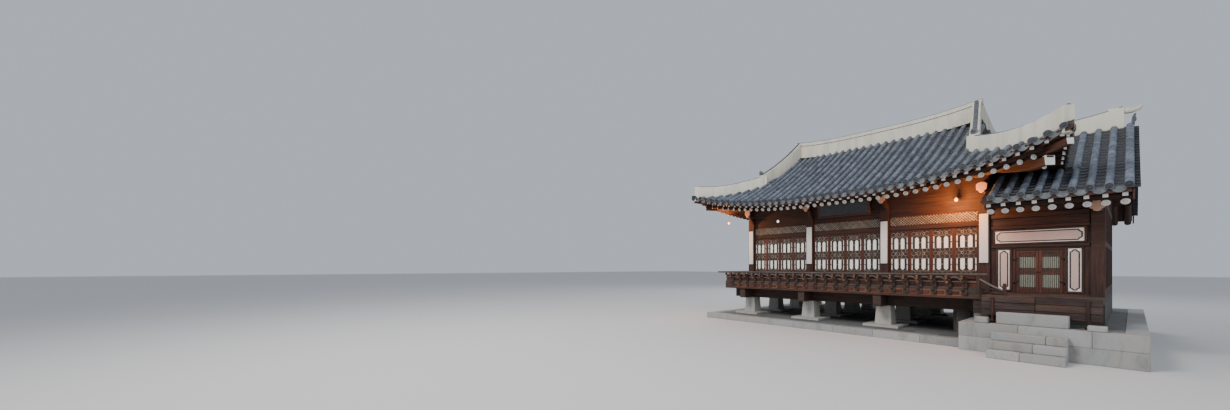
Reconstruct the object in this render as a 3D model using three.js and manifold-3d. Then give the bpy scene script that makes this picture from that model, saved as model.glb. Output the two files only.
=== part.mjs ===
// A hanok house: a raised three-bay pavilion on granite piers, with a railed veranda and a hip-and-gable
// tile roof, and a lower one-bay wing with a porch and a pair of hinged doors.
// Millimetres, +Z up. X runs along the front from the middle of the first front column, Y runs into the
// house from the front columns, and Z = 0 is the courtyard ground.
import * as THREE from "three";
import { mergeVertices } from "three/addons/utils/BufferGeometryUtils.js";
import Module from "manifold-3d";

const wasm = await Module();
wasm.setup();

// Plan
const BAY = 2700; // front columns of the pavilion, centre to centre
const SIDE_BAY = 2000; // side columns, centre to centre
const BAYS = 3;
const LENGTH = BAYS * BAY;
const DEPTH = 3 * SIDE_BAY;
const WING_LENGTH = 2280;
const WING_END = LENGTH + WING_LENGTH;
const COLUMN = 270;
const HALF_COLUMN = COLUMN / 2;
const GAP = 0.3; // between pieces that meet on a sloped or turned face

// Stonework
const PLATFORM_TOP = 240;
const PLATFORM_OUT = 1480;
const BASE_LEFT = 7830;
const BASE_RIGHT = 11200;
const BASE_OUT = 1800;
const BASE_TOP = 790;
const PAD_SIZE = 1100;
const PAD_TOP = 320;
const PIER_TOP = 980;
const PIER_WIDE = 520;
const PIER_NARROW = 440;
const LOW_PIER = 450;

// Floors
const BEAM_WIDTH = 250;
const VERANDA_OUT = 820;
const FLOOR_BOTTOM = 1420;
const FLOOR_TOP = 1600;
const SKIRT_THICK = 50;
const SKIRT_BOTTOM = 1390;
const SKIRT_TOP = 1700;
const WING_FLOOR_TOP = 1550;
const WING_FLOOR_THICK = 160;
const PORCH_OUT = 1200;
const PORCH_SKIRT_BOTTOM = 990;

// Railing
const RAIL_TOP = 2160;
const RAIL_OUT = 1050;
const RAIL_RADIUS = 36;
const BRACKET_STEP = 375;
const BRACKET_THICK = 50;
const RAIL_BOARD_TOP = 2010;
const RAMP_REACH = 520; // the slanted handrail down to the porch
const RAMP_FALL = 474;
const NEWEL_TOP = 1950;

// Walls
const DOOR_BOTTOM = 1700;
const DOOR_TOP = 3640;
const LINTEL_TOP = 3770;
const TRANSOM_TOP = 4120;
const COLUMN_TOP = 4500;
const WALL = 120;
const HALF_WALL = WALL / 2;
const PANEL = 16; // what is left of a wall where its face is recessed
const HEAD_WIDTH = 240;
const HALF_WING_COLUMN = 120;

// Hinged doors of the wing
const DOOR_LEFT = 8800;
const DOOR_RIGHT = 9750;
const SILL_TOP = 1600;
const DOOR_HEAD = 2830;
const LEAF_THICK = 35;
const CLEARANCE = 5;
const KNUCKLE_RADIUS = 9;
const KNUCKLE_LENGTH = 50;
const HINGE_OUT = 14; // from the wall's face to the hinge's axis

// Main roof
const EAVE_OUT = 2050; // at the corners
const EAVE_SAG = 450; // how far the eave draws back between the corners
const EAVE_HEIGHT = 4650;
const EAVE_SLOPE = 0.5031;
const EAVE_CURVE = 0.0168e-3;
const LEFT_RISE = 950;
const RIGHT_RISE = 1200; // the right corners clear the wing's roof
const RISE_REACH = 5050;
const RISE_FADE = 4650;
const THIN_EDGE = 250; // the roof keeps its least thickness this far in from a corner's edge
const GABLE_PLANE = 620;
const RIDGE_TOP = 8300;
const RIDGE_WIDTH = 340;
const HIP_WIDTH = 280;
const HIP_HEIGHT = 570;
const KNEE_HEIGHT = 640;
const GABLE_HEIGHT = 960; // of a gable ridge where it meets the main ridge
const HIP_KNEE = 290; // where a gable ridge turns out along the hip, from both wall planes

// Tile rows, as folds in the roof's top
const ROW_PITCH = 285;
const WING_ROW_PITCH = 305;
const ROW_TROUGH = 25;
const ROW_CROWN = 150;
const ROW_GAP = 5; // between the rows and the ridges or gable walls

// Wing roof
const WING_EAVE_OUT = 1450;
const WING_EAVE_HEIGHT = 4200;
const WING_SLOPE = 0.48;
const WING_CURVE = 0.013e-3;
const WING_VERGE = 11000;
const WING_RIDGE_TOP = 7000;
const WING_RIDGE_WIDTH = 300;

// Colours
const GRANITE = 0xb9b6ae;
const TIMBER = 0x5a3425;
const DARK_TIMBER = 0x43281d;
const PLANK = 0x6b4a38;
const TILE = 0x5d6470;
const PLASTER = 0xe3ddcf;
const SIGN = 0x23211f;

const FAR = 9000; // past everything
const house = new THREE.Group();

// A closed geometry as a solid that can be joined and cut.
function solid(geometry) {
  const bare = geometry.clone();
  bare.deleteAttribute("normal");
  bare.deleteAttribute("uv");
  const merged = mergeVertices(bare, 1e-3);
  return new wasm.Manifold(
    new wasm.Mesh({
      numProp: 3,
      vertProperties: new Float32Array(merged.attributes.position.array),
      triVerts: new Uint32Array(merged.index.array),
    }),
  );
}

function geometryOf(body) {
  const mesh = body.getMesh();
  const geometry = new THREE.BufferGeometry();
  geometry.setAttribute("position", new THREE.BufferAttribute(mesh.vertProperties, mesh.numProp));
  geometry.setIndex(new THREE.BufferAttribute(mesh.triVerts, 1));
  const flat = geometry.toNonIndexed();
  flat.computeVertexNormals();
  return flat;
}

function add(name, body, color, roughness = 0.8) {
  const material = new THREE.MeshStandardMaterial({ color, roughness, metalness: 0 });
  const mesh = new THREE.Mesh(geometryOf(body), material);
  mesh.name = name;
  house.add(mesh);
}

const join = (bodies) => bodies.reduce((all, body) => all.add(body));
const cutAll = (body, cutters) => cutters.reduce((rest, cutter) => rest.subtract(cutter), body);
const range = (count) => Array.from({ length: count }, (_, i) => i);
const lerp = THREE.MathUtils.lerp;
const clamp = THREE.MathUtils.clamp;

// A box between two corners.
function slab(x0, x1, y0, y1, z0, z1) {
  const box = new THREE.BoxGeometry(x1 - x0, y1 - y0, z1 - z0);
  return solid(box.translate((x0 + x1) / 2, (y0 + y1) / 2, (z0 + z1) / 2));
}

// An outline in plan, as deep and as high as the whole house.
function over(outline) {
  const shape = new THREE.Shape(outline.map(([x, y]) => new THREE.Vector2(x, y)));
  const prism = new THREE.ExtrudeGeometry(shape, { depth: 2 * FAR, bevelEnabled: false });
  return solid(prism.translate(0, 0, -FAR));
}

// A box whose points are moved one by one: place gets u, v and w from 0 to 1 and gives a point.
function shaped(along, across, place) {
  const box = new THREE.BoxGeometry(1, 1, 1, along, across, 1).translate(0.5, 0.5, 0.5);
  const points = box.attributes.position;
  for (const i of range(points.count)) {
    points.setXYZ(i, ...place(points.getX(i), points.getY(i), points.getZ(i)));
  }
  return solid(box);
}

// An outline in the plane of Y and Z, drawn out along X from x0 to x1.
function drawnOut(outline, x0, x1) {
  const shape = new THREE.Shape(outline.map(([y, z]) => new THREE.Vector2(y, z)));
  const bar = new THREE.ExtrudeGeometry(shape, { depth: x1 - x0, bevelEnabled: false });
  const turn = new THREE.Matrix4().set(0, 0, 1, x0, 1, 0, 0, 0, 0, 1, 0, 0, 0, 0, 0, 1);
  return solid(bar.applyMatrix4(turn));
}

function rod(radius, length, sides, x, y, z, axis = "z") {
  const bar = new THREE.CylinderGeometry(radius, radius, length, sides);
  if (axis === "z") bar.rotateX(Math.PI / 2);
  if (axis === "x") bar.rotateZ(Math.PI / 2);
  return solid(bar.translate(x, y, z));
}

// The two roofs, as heights over the plan
const cornerAt = (x) => (x < LENGTH / 2 ? LEFT_RISE : RIGHT_RISE);
const rise = (along, corner) => corner * Math.max(0, 1 - along / RISE_REACH) ** 2;
const fade = (inward) => Math.max(0, 1 - inward / RISE_FADE) ** 1.5;
const climb = (inward) => EAVE_HEIGHT + EAVE_SLOPE * inward + EAVE_CURVE * inward ** 2;
const fromSide = (x) => Math.min(x + EAVE_OUT, LENGTH + EAVE_OUT - x);
const fromFront = (y) => Math.min(y + EAVE_OUT, DEPTH + EAVE_OUT - y);
const roofThick = (inward) => 50 + 280 * clamp((inward - THIN_EDGE) / (EAVE_OUT - THIN_EDGE), 0, 1);

// Height of a slope that drains to an eave: how far in from that eave, and along it from a corner of a given rise
const slopeTop = (inward, along, corner) => climb(inward) + rise(along, corner) * fade(inward);

// The eaves draw back a little between the corners.
const drawBack = (inward, along) => {
  const middle = EAVE_SAG * (1 - Math.max(0, 1 - along / RISE_REACH) ** 2);
  return middle * Math.max(0, 1 - inward / 1000);
};

// Where the front slope ends under the gable ridges: out at the corners and in towards the main ridge.
const gableEdge = (inward) => lerp(140, 560, clamp((inward - 2370) / 2680, 0, 1));

// Front and back slopes in one sheet. raise lifts its top, thick gives its depth and grow widens it.
function longSlopes(raise, thick, grow = 0) {
  return shaped(8, 12, (u, v, w) => {
    const y0 = lerp(-EAVE_OUT, DEPTH + EAVE_OUT, v);
    const edge = gableEdge(fromFront(y0)) - grow;
    const x = lerp(edge, LENGTH - edge, u);
    const inward0 = fromFront(y0);
    const shift = drawBack(inward0, fromSide(x));
    const y = y0 < DEPTH / 2 ? y0 + shift : y0 - shift;
    const inward = inward0 + shift;
    const top = slopeTop(inward, fromSide(x), cornerAt(x)) + raise;
    return [x, y, top - (1 - w) * thick(inward)];
  });
}

// The left hipped end of the roof: it tucks a little under the edge of the long slopes.
function endSlope(raise, thick, corner = LEFT_RISE) {
  const tuck = 15;
  const reach = EAVE_OUT + GABLE_PLANE + 130;
  return shaped(6, 16, (u, v, w) => {
    const dx0 = reach * u;
    const y0 = lerp(-EAVE_OUT, DEPTH + EAVE_OUT, v);
    const dy0 = fromFront(y0);
    const dx = dx0 + drawBack(dx0, dy0);
    const shift = drawBack(dy0, dx0);
    const dy = dy0 + shift;
    const y = y0 < DEPTH / 2 ? y0 + shift : y0 - shift;
    const inward = Math.min(dx, dy);
    const top = slopeTop(inward, Math.max(dx, dy), corner) + raise - tuck;
    return [dx - EAVE_OUT, y, top - (1 - w) * thick(inward)];
  });
}

const acrossX = (body) => body.mirror([1, 0, 0]).translate([LENGTH, 0, 0]);
const acrossY = (body) => body.mirror([0, 1, 0]).translate([0, DEPTH, 0]);
const mirroredEnd = (raise, thick) => acrossX(endSlope(raise, thick, RIGHT_RISE));

function mainRoof(raise, thick, grow = 0) {
  return join([longSlopes(raise, thick, grow), endSlope(raise, thick), mirroredEnd(raise, thick)]);
}

const wingInward = (y) => Math.min(y + WING_EAVE_OUT, DEPTH + WING_EAVE_OUT - y);
const wingTop = (y) => {
  const inward = wingInward(y);
  return WING_EAVE_HEIGHT + WING_SLOPE * inward + WING_CURVE * inward ** 2;
};
const wingThick = (inward) => 50 + 220 * Math.min(1, inward / WING_EAVE_OUT);
const WING_LEFT = LENGTH - GABLE_PLANE + GAP;

function wingRoof(raise, thick) {
  return shaped(1, 12, (u, v, w) => {
    const y = lerp(-WING_EAVE_OUT, DEPTH + WING_EAVE_OUT, v);
    return [lerp(WING_LEFT, WING_VERGE, u), y, wingTop(y) + raise - (1 - w) * thick(wingInward(y))];
  });
}

// What lies above the underside of each roof, to trim the walls with, and what lies below each top
const aboveMain = mainRoof(FAR, (inward) => FAR + roofThick(inward) + GAP);
const belowMain = mainRoof(GAP, () => FAR, GAP);
const aboveWing = wingRoof(FAR, (inward) => FAR + wingThick(inward) + GAP);
const belowWing = wingRoof(GAP, () => FAR);

const MEET = LENGTH + HALF_COLUMN; // plane between the pavilion and the wing
const WING_RIGHT = WING_END + HALF_WING_COLUMN;
const JAMB_POST = WING_END - HALF_WING_COLUMN;
const rightOfMeet = slab(MEET, FAR * 2, -FAR, FAR * 2, -FAR, FAR * 2);
const leftOfMeet = slab(-FAR, MEET, -FAR, FAR * 2, -FAR, FAR * 2);

// Stone platform, base, steps and piers
function stonework() {
  const platform = slab(-PLATFORM_OUT, BASE_LEFT, -PLATFORM_OUT, DEPTH + PLATFORM_OUT, 0, PLATFORM_TOP);
  add("pavilion_platform", platform, GRANITE, 0.9);

  const base = slab(BASE_LEFT, BASE_RIGHT, -BASE_OUT, DEPTH + BASE_OUT, 0, BASE_TOP);
  const half = LOW_PIER / 2;
  const lowPiers = range(4).map((row) => {
    const y = row * SIDE_BAY;
    return slab(LENGTH - half, MEET, y - half, y + half, BASE_TOP, PIER_TOP);
  });
  add("wing_base", join([base, ...lowPiers]), GRANITE, 0.9);

  const tread = 300;
  const riser = 200;
  const profile = [[-BASE_OUT, 0]];
  for (const i of range(3)) {
    profile.unshift([-BASE_OUT - i * tread, (3 - i) * riser]);
    profile.unshift([-BASE_OUT - (i + 1) * tread, (3 - i) * riser]);
  }
  profile.unshift([-BASE_OUT - 3 * tread, 0]);
  const middle = (DOOR_LEFT + DOOR_RIGHT) / 2;
  add("entry_steps", drawnOut(profile, middle - 700, middle + 700), GRANITE, 0.9);
  add("step_stone", slab(middle - 680, middle + 680, -1560, -1260, BASE_TOP, 1100), GRANITE, 0.9);

  for (const row of range(4)) {
    for (const column of range(3)) {
      const x = column * BAY;
      const y = row * SIDE_BAY;
      const pad = PAD_SIZE / 2;
      const foot = slab(x - pad, x + pad, y - pad, y + pad, PLATFORM_TOP, PAD_TOP);
      const pier = shaped(1, 1, (u, v, w) => {
        const width = w < 0.5 ? PIER_WIDE : PIER_NARROW;
        return [x + (u - 0.5) * width, y + (v - 0.5) * width, w < 0.5 ? PAD_TOP : PIER_TOP];
      });
      add(`pier_${row + 1}_${column + 1}`, foot.add(pier), GRANITE, 0.9);
    }
  }
}

// Floor beams on the piers, the floor with its veranda, and the wing's floor with its porch
function floors() {
  const half = BEAM_WIDTH / 2;
  const out = VERANDA_OUT;
  const beams = slab(-out, LENGTH + half, -out, DEPTH + out, PIER_TOP, FLOOR_BOTTOM);
  const gaps = (bay, last) => range(last + 1).map((i) => [i ? (i - 1) * bay + half : -FAR, i * bay - half]);
  const pockets = gaps(BAY, BAYS).flatMap(([x0, x1]) =>
    [...gaps(SIDE_BAY, 3), [DEPTH + half, FAR]].map(([y0, y1]) => slab(x0, x1, y0, y1, 0, FAR)),
  );
  add("floor_beams", cutAll(beams, pockets), DARK_TIMBER);
  add("pavilion_floor", slab(-out, MEET, -out, DEPTH + out, FLOOR_BOTTOM, FLOOR_TOP), PLANK);

  const outer = out + SKIRT_THICK;
  const skirt = slab(-outer, MEET, -outer, DEPTH + outer, SKIRT_BOTTOM, SKIRT_TOP);
  const inside = slab(-out, MEET + 1, -out, DEPTH + out, 0, FAR);
  add("veranda_skirt", skirt.subtract(inside), PLANK);

  const low = WING_FLOOR_TOP - WING_FLOOR_THICK;
  const right = WING_RIGHT;
  const wide = HALF_WING_COLUMN;
  const ring = slab(MEET, right, -wide, DEPTH + wide, BASE_TOP, low);
  const hollow = slab(MEET + 240, right - 240, wide, DEPTH - wide, 0, FAR);
  add("wing_foundation", ring.subtract(hollow), GRANITE, 0.9);

  const floor = slab(MEET, right, -PORCH_OUT, DEPTH + wide, low, WING_FLOOR_TOP);
  const sill = slab(MEET, JAMB_POST, -HALF_WALL, HALF_WALL, WING_FLOOR_TOP, SILL_TOP);
  add("wing_floor", floor.add(sill), PLANK);

  const front = slab(MEET, right, -PORCH_OUT - SKIRT_THICK, -PORCH_OUT, PORCH_SKIRT_BOTTOM, WING_FLOOR_TOP);
  const posts = [MEET + 240, right - 240].flatMap((x) => [
    rod(38, 700, 10, x, -PORCH_OUT - 70, BASE_TOP + 350),
    rod(70, 90, 10, x, -PORCH_OUT - 70, BASE_TOP + 45),
  ]);
  add("porch_skirt", join([front, ...posts]), PLANK);
}

// One straight run of railing along X, flaring towards -Y: a boarded panel, brackets and a round handrail
function railing(length, before, after) {
  const flare = VERANDA_OUT - RAIL_OUT;
  const board = slab(0, length, -30, 0, SKIRT_TOP, RAIL_BOARD_TOP);
  const whole = before + length + after;
  const rail = rod(RAIL_RADIUS, whole, 6, whole / 2 - before, flare, RAIL_TOP - RAIL_RADIUS, "x");
  const count = Math.floor(length / BRACKET_STEP);
  const start = (length - (count - 1) * BRACKET_STEP) / 2;
  const level = RAIL_TOP - RAIL_RADIUS;
  const outline = [
    [-20, SKIRT_TOP],
    [-20, 1780],
    [flare + 25, level],
    [flare - 25, level],
    [-150, 1760],
    [-120, SKIRT_TOP],
  ];
  const brackets = range(count).map((i) => {
    const x = start + i * BRACKET_STEP - BRACKET_THICK / 2;
    return drawnOut(outline, x, x + BRACKET_THICK);
  });
  return join([board, rail, ...brackets]);
}

function railings() {
  const out = VERANDA_OUT + 30;
  const length = LENGTH + out;
  const past = 300; // the handrail runs on past the corner
  const flare = VERANDA_OUT - RAIL_OUT;
  const level = RAIL_TOP - RAIL_RADIUS;
  const slanted = rod(RAIL_RADIUS, RAMP_REACH, 6, RAMP_REACH / 2, 0, 0, "x").warp((point) => {
    point[2] -= (point[0] / RAMP_REACH) * RAMP_FALL;
  });
  const newelAt = length + RAMP_REACH;
  const newel = slab(newelAt - 35, newelAt + 35, flare - 35, flare + 35, WING_FLOOR_TOP, NEWEL_TOP);
  const front = join([railing(length, past, 0), slanted.translate([length - 1, flare, level]), newel]);
  add("railing_front", front.translate([-out, -VERANDA_OUT, 0]), PLANK);

  const side = DEPTH + 2 * VERANDA_OUT;
  const over = RAIL_OUT - VERANDA_OUT - RAIL_RADIUS - GAP;
  const left = railing(side, over, over).rotate([0, 0, -90]);
  add("railing_left", left.translate([-VERANDA_OUT, DEPTH + VERANDA_OUT, 0]), PLANK);
  const back = railing(length, past, 0).mirror([0, 1, 0]);
  add("railing_back", back.translate([-out, DEPTH + VERANDA_OUT, 0]), PLANK);
}

const post = (x, y, z0, z1, half = HALF_COLUMN) => slab(x - half, x + half, y - half, y + half, z0, z1);

// A set of folding leaves in one bay, closed: stiles and rails round recessed lattice and bottom panels
function bayDoors(length, leaves) {
  const width = length / leaves;
  const stile = 45;
  const recesses = range(leaves).flatMap((i) => {
    const x0 = i * width + stile;
    const x1 = (i + 1) * width - stile;
    return [
      [DOOR_BOTTOM, 2080],
      [2150, DOOR_TOP - 60],
    ].flatMap(([z0, z1]) => [
      slab(x0, x1, -100, -PANEL / 2, z0, z1),
      slab(x0, x1, PANEL / 2, 100, z0, z1),
    ]);
  });
  return cutAll(slab(0, length, -30, 30, FLOOR_TOP, DOOR_TOP), recesses);
}

// What closes a bay over its doors: lintel, transom and board
function bayHead(length) {
  return join([
    slab(0, length, -70, 70, DOOR_TOP, LINTEL_TOP),
    slab(0, length, -PANEL / 2, PANEL / 2, LINTEL_TOP, TRANSOM_TOP),
    slab(0, length, -50, 50, TRANSOM_TOP, COLUMN_TOP),
  ]);
}

const clear = (bay) => bay - COLUMN;

function pavilionWalls() {
  for (const i of range(BAYS + 1)) add(`column_${i + 1}`, post(i * BAY, 0, FLOOR_TOP, COLUMN_TOP), TIMBER);
  for (const i of range(BAYS)) {
    const doors = bayDoors(clear(BAY), 4);
    add(`door_set_${i + 1}`, doors.translate([i * BAY + HALF_COLUMN, 0, 0]), TIMBER);
  }

  const closedBay = (bay, leaves) => bayDoors(clear(bay), leaves).add(bayHead(clear(bay)));
  const backBays = range(BAYS).map((i) => closedBay(BAY, 4).translate([i * BAY + HALF_COLUMN, DEPTH, 0]));
  const backPosts = range(BAYS + 1).map((i) => post(i * BAY, DEPTH, FLOOR_TOP, COLUMN_TOP));
  add("back_wall", join([...backBays, ...backPosts]), TIMBER);

  const turned = closedBay(SIDE_BAY, 3).rotate([0, 0, 90]);
  const sideBays = range(3).map((i) => turned.translate([0, i * SIDE_BAY + HALF_COLUMN, 0]));
  const sidePosts = [1, 2].map((i) => post(0, i * SIDE_BAY, FLOOR_TOP, COLUMN_TOP));
  add("left_wall", join([...sideBays, ...sidePosts]), TIMBER);

  const wall = slab(
    LENGTH - HALF_WALL, LENGTH + HALF_WALL, HALF_COLUMN, DEPTH - HALF_COLUMN, FLOOR_TOP, COLUMN_TOP,
  );
  add("partition_wall", wall, PLASTER, 0.9);
}

// A beam along Y with rounded heads past both walls
function crossBeam(x, out, z0, z1, half) {
  const radius = (z1 - z0) / 2;
  const middle = (z0 + z1) / 2;
  const head = (sign) =>
    range(7).map((i) => {
      const angle = (i / 6 - 0.5) * Math.PI;
      const reach = sign > 0 ? DEPTH + out : -out;
      return [reach + Math.cos(angle) * radius * sign, middle + Math.sin(angle) * radius * sign];
    });
  return drawnOut([...head(1), ...head(-1)], x - half, x + half);
}

// Beams over the columns, the heads of the front bays, cross beams, king posts and the ridge purlin
function roofFrame() {
  const half = HEAD_WIDTH / 2;
  const ring = slab(-half, LENGTH + half, -half, DEPTH + half, COLUMN_TOP, 5800);
  const inside = slab(half, LENGTH - half, half, DEPTH - half, 0, FAR);
  const heads = range(BAYS).map((i) => bayHead(clear(BAY)).translate([i * BAY + HALF_COLUMN, 0, 0]));
  const beams = range(BAYS + 1).map((i) => crossBeam(i * BAY, 300, 4620, 4900, 95));
  const kings = [1, 2].map((i) => post(i * BAY, DEPTH / 2, 4800, 7100, 90));
  const end = GABLE_PLANE + 80;
  const purlin = slab(end, LENGTH - end, DEPTH / 2 - 110, DEPTH / 2 + 110, 7000, 7500);
  const frame = join([ring.subtract(inside), ...heads, ...beams, ...kings, purlin]);
  add("roof_frame", frame.subtract(aboveMain), TIMBER);
}

// Name board over the middle bay, leaning forward on two brackets from the beam behind it
function nameBoard() {
  const middle = LENGTH / 2;
  const side = [[-180, 4290], [-330, 4850], [-380, 4837], [-230, 4277]];
  const board = drawnOut(side, middle - 950, middle + 950);
  const bracket = [[-HEAD_WIDTH / 2 - GAP, 4560], [-HEAD_WIDTH / 2 - GAP, 4620], [-275, 4620], [-270, 4560]];
  const brackets = [-600, 600].map((x) => drawnOut(bracket, middle + x - 20, middle + x + 20));
  add("name_board", join([board, ...brackets]), SIGN, 0.6);
}

// The fixed half or the moving half of a leaf's two hinges. side is 1 at the left jamb, -1 at the right.
function knuckles(x, side, moving) {
  const y = -HALF_WALL - HINGE_OUT;
  const low = moving ? KNUCKLE_LENGTH + GAP : 0;
  const from = moving ? CLEARANCE / 2 : -CLEARANCE / 2 - 60;
  return [DOOR_HEAD - 300, SILL_TOP + 250].map((z) => {
    const x0 = x + (side > 0 ? from : -from - 60);
    const [z0, z1] = [z + low + 5, z + low + KNUCKLE_LENGTH - 5];
    const strap = slab(x0, x0 + 60, -HALF_WALL - 10, -HALF_WALL + 2, z0, z1);
    return strap.add(rod(KNUCKLE_RADIUS, KNUCKLE_LENGTH, 16, x, y, z + low + KNUCKLE_LENGTH / 2));
  });
}

const LEFT_AXIS = DOOR_LEFT + CLEARANCE / 2;
const RIGHT_AXIS = DOOR_RIGHT - CLEARANCE / 2;

function wingWalls() {
  const left = slab(MEET, DOOR_LEFT, -HALF_WALL, HALF_WALL, SILL_TOP, DOOR_HEAD);
  add("wing_wall_left", join([left, ...knuckles(LEFT_AXIS, 1, false)]), TIMBER);
  const half = HALF_WING_COLUMN;
  const right = slab(DOOR_RIGHT, JAMB_POST, -HALF_WALL, HALF_WALL, SILL_TOP, DOOR_HEAD);
  const column = post(WING_END, 0, WING_FLOOR_TOP, DOOR_HEAD, half);
  add("wing_wall_right", join([right, column, ...knuckles(RIGHT_AXIS, -1, false)]), TIMBER);

  const over = slab(MEET, WING_RIGHT, -HALF_WALL, HALF_WALL, DOOR_HEAD, 5200);
  const top = post(WING_END, 0, DOOR_HEAD, 5200, half);
  const beam = crossBeam(WING_END, 380, 3810, 4060, 90).intersect(slab(0, FAR * 2, -FAR, 0, 0, FAR));
  add("wing_wall_over_door", join([over, top, beam]).subtract(aboveWing), TIMBER);

  const back = slab(MEET, WING_RIGHT, DEPTH - HALF_WALL, DEPTH + HALF_WALL, WING_FLOOR_TOP, 5200);
  add("wing_back_wall", back.subtract(aboveWing), TIMBER);
  const end = slab(WING_RIGHT - WALL, WING_RIGHT, half, DEPTH - HALF_WALL, WING_FLOOR_TOP, 7000);
  add("wing_end_wall", end.subtract(aboveWing), PLASTER, 0.9);
}

// One hinged leaf: stiles and rails round recessed panels, with its halves of the hinges
function leaf(x0, x1, axis, side) {
  const z0 = SILL_TOP + CLEARANCE;
  const z1 = DOOR_HEAD - CLEARANCE;
  const outer = -HALF_WALL;
  const inner = outer + LEAF_THICK;
  const stile = 50;
  const recesses = [
    [z0 + 60, z0 + 300],
    [z0 + 350, z1 - 300],
    [z1 - 250, z1 - 60],
  ].flatMap(([low, high]) => [
    slab(x0 + stile, x1 - stile, outer - 5, outer + 12, low, high),
    slab(x0 + stile, x1 - stile, inner - 12, inner + 5, low, high),
  ]);
  return join([cutAll(slab(x0, x1, outer, inner, z0, z1), recesses), ...knuckles(axis, side, true)]);
}

function wingDoors() {
  const middle = (DOOR_LEFT + DOOR_RIGHT) / 2;
  const half = CLEARANCE / 2;
  add("door_leaf_left", leaf(DOOR_LEFT + CLEARANCE, middle - half, LEFT_AXIS, 1), TIMBER);
  add("door_leaf_right", leaf(middle + half, DOOR_RIGHT - CLEARANCE, RIGHT_AXIS, -1), TIMBER);
}

// The ridge that comes down a gable's edge and runs on out along the hip to the corner
function hipRidge(corner) {
  const steps = 6;
  const top = [gableEdge(RISE_REACH) + HIP_WIDTH / 2, DEPTH / 2 - RIDGE_WIDTH / 2 - GAP];
  const knee = [HIP_KNEE, HIP_KNEE];
  const tip = [-EAVE_OUT + 230, -EAVE_OUT + 230];
  const half = HIP_WIDTH / 2;
  return shaped(2 * steps, 1, (u, v, w) => {
    const step = Math.round(u * 2 * steps);
    const upper = step <= steps;
    const share = upper ? step / steps : (step - steps) / steps;
    const [from, to] = upper ? [top, knee] : [knee, tip];
    const turn = step === steps ? Math.PI / 8 : upper ? 0 : Math.PI / 4;
    const wide = half / Math.cos(step === steps ? Math.PI / 8 : 0);
    const across = (v - 0.5) * 2 * wide;
    const cx = lerp(from[0], to[0], share);
    const cy = lerp(from[1], to[1], share);
    const inward = fromFront(cy);
    const along = upper ? fromSide(cx) : inward;
    const gable = KNEE_HEIGHT + (GABLE_HEIGHT - KNEE_HEIGHT) * (1 - share) ** 2;
    const hip = lerp(KNEE_HEIGHT, HIP_HEIGHT, Math.min(1, 4 * share));
    const z = slopeTop(inward, along, corner) + (w < 0.5 ? -120 : upper ? gable : hip);
    return [cx + Math.cos(turn) * across, cy - Math.sin(turn) * across, z];
  });
}

// A layer of tile rows side by side: every second line is a crown. place gets a line's station and how far up
// the slope it is, and gives a point of the roof's top and how deep the layer reaches into it.
function tileRows(first, pitch, count, steps, place) {
  return shaped(2 * count, steps, (u, v, w) => {
    const line = Math.round(u * 2 * count);
    const [x, y, top, depth] = place(first + (line * pitch) / 2, v);
    return [x, y, w < 0.5 ? top - depth : top + (line % 2 ? ROW_CROWN : ROW_TROUGH)];
  });
}

const rowDepth = (inward) => 30 + 0.12 * Math.min(inward, 800);

// Rows of the long slopes, between the gable ridges, the hips and the main ridge
function longRows() {
  const count = 42;
  const rows = tileRows(LENGTH / 2 - (count / 2) * ROW_PITCH, ROW_PITCH, count, 12, (x, v) => {
    const y0 = lerp(ROW_GAP - EAVE_OUT, DEPTH + EAVE_OUT - ROW_GAP, v);
    const shift = drawBack(fromFront(y0), fromSide(x));
    const inward = fromFront(y0) + shift;
    const top = slopeTop(inward, fromSide(x), cornerAt(x));
    return [x, y0 < DEPTH / 2 ? y0 + shift : y0 - shift, top, rowDepth(inward)];
  });
  const aside = HIP_WIDTH / 2 + ROW_GAP;
  const knee = [HIP_KNEE + aside, HIP_KNEE - aside * Math.tan(Math.PI / 8)];
  const top = [gableEdge(RISE_REACH) + HIP_WIDTH / 2 + aside, (DEPTH - RIDGE_WIDTH) / 2 - ROW_GAP];
  const left = [[knee[0] - RISE_REACH, knee[1] - RISE_REACH], knee, top];
  const field = over([...left, ...left.map(([x, y]) => [LENGTH - x, y]).reverse()]);
  return rows.intersect(field.add(acrossY(field)));
}

// Rows of the left hipped end, from its eave up to the gable wall and in under the long slopes
function endRows(corner) {
  const count = 36;
  const rows = tileRows(DEPTH / 2 + (count / 2) * ROW_PITCH, -ROW_PITCH, count, 5, (y, v) => {
    const dx0 = lerp(ROW_GAP, EAVE_OUT + GABLE_PLANE, v);
    const dx = dx0 + drawBack(dx0, Math.max(0, fromFront(y)));
    const inward = Math.min(dx, fromFront(y));
    const top = slopeTop(inward, Math.max(dx, fromFront(y)), corner) - 10;
    return [dx - EAVE_OUT, y, top, rowDepth(inward)];
  });
  const aside = HIP_WIDTH / 2 + ROW_GAP;
  const knee = [HIP_KNEE - aside, HIP_KNEE + aside * Math.tan(Math.PI / 8)];
  const tucked = 600; // from here on the rows pass in under the long slopes
  const front = [
    [GABLE_PLANE - ROW_GAP, tucked],
    [knee[0] - 2 * ROW_GAP, tucked],
    knee,
    [knee[0] - RISE_REACH, knee[1] - RISE_REACH],
  ];
  const field = over([...front, ...front.map(([x, y]) => [x, DEPTH - y]).reverse()].reverse());
  return rows.intersect(field).subtract(longSlopes(FAR, (inward) => FAR + roofThick(inward) - 30, -20));
}

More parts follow.
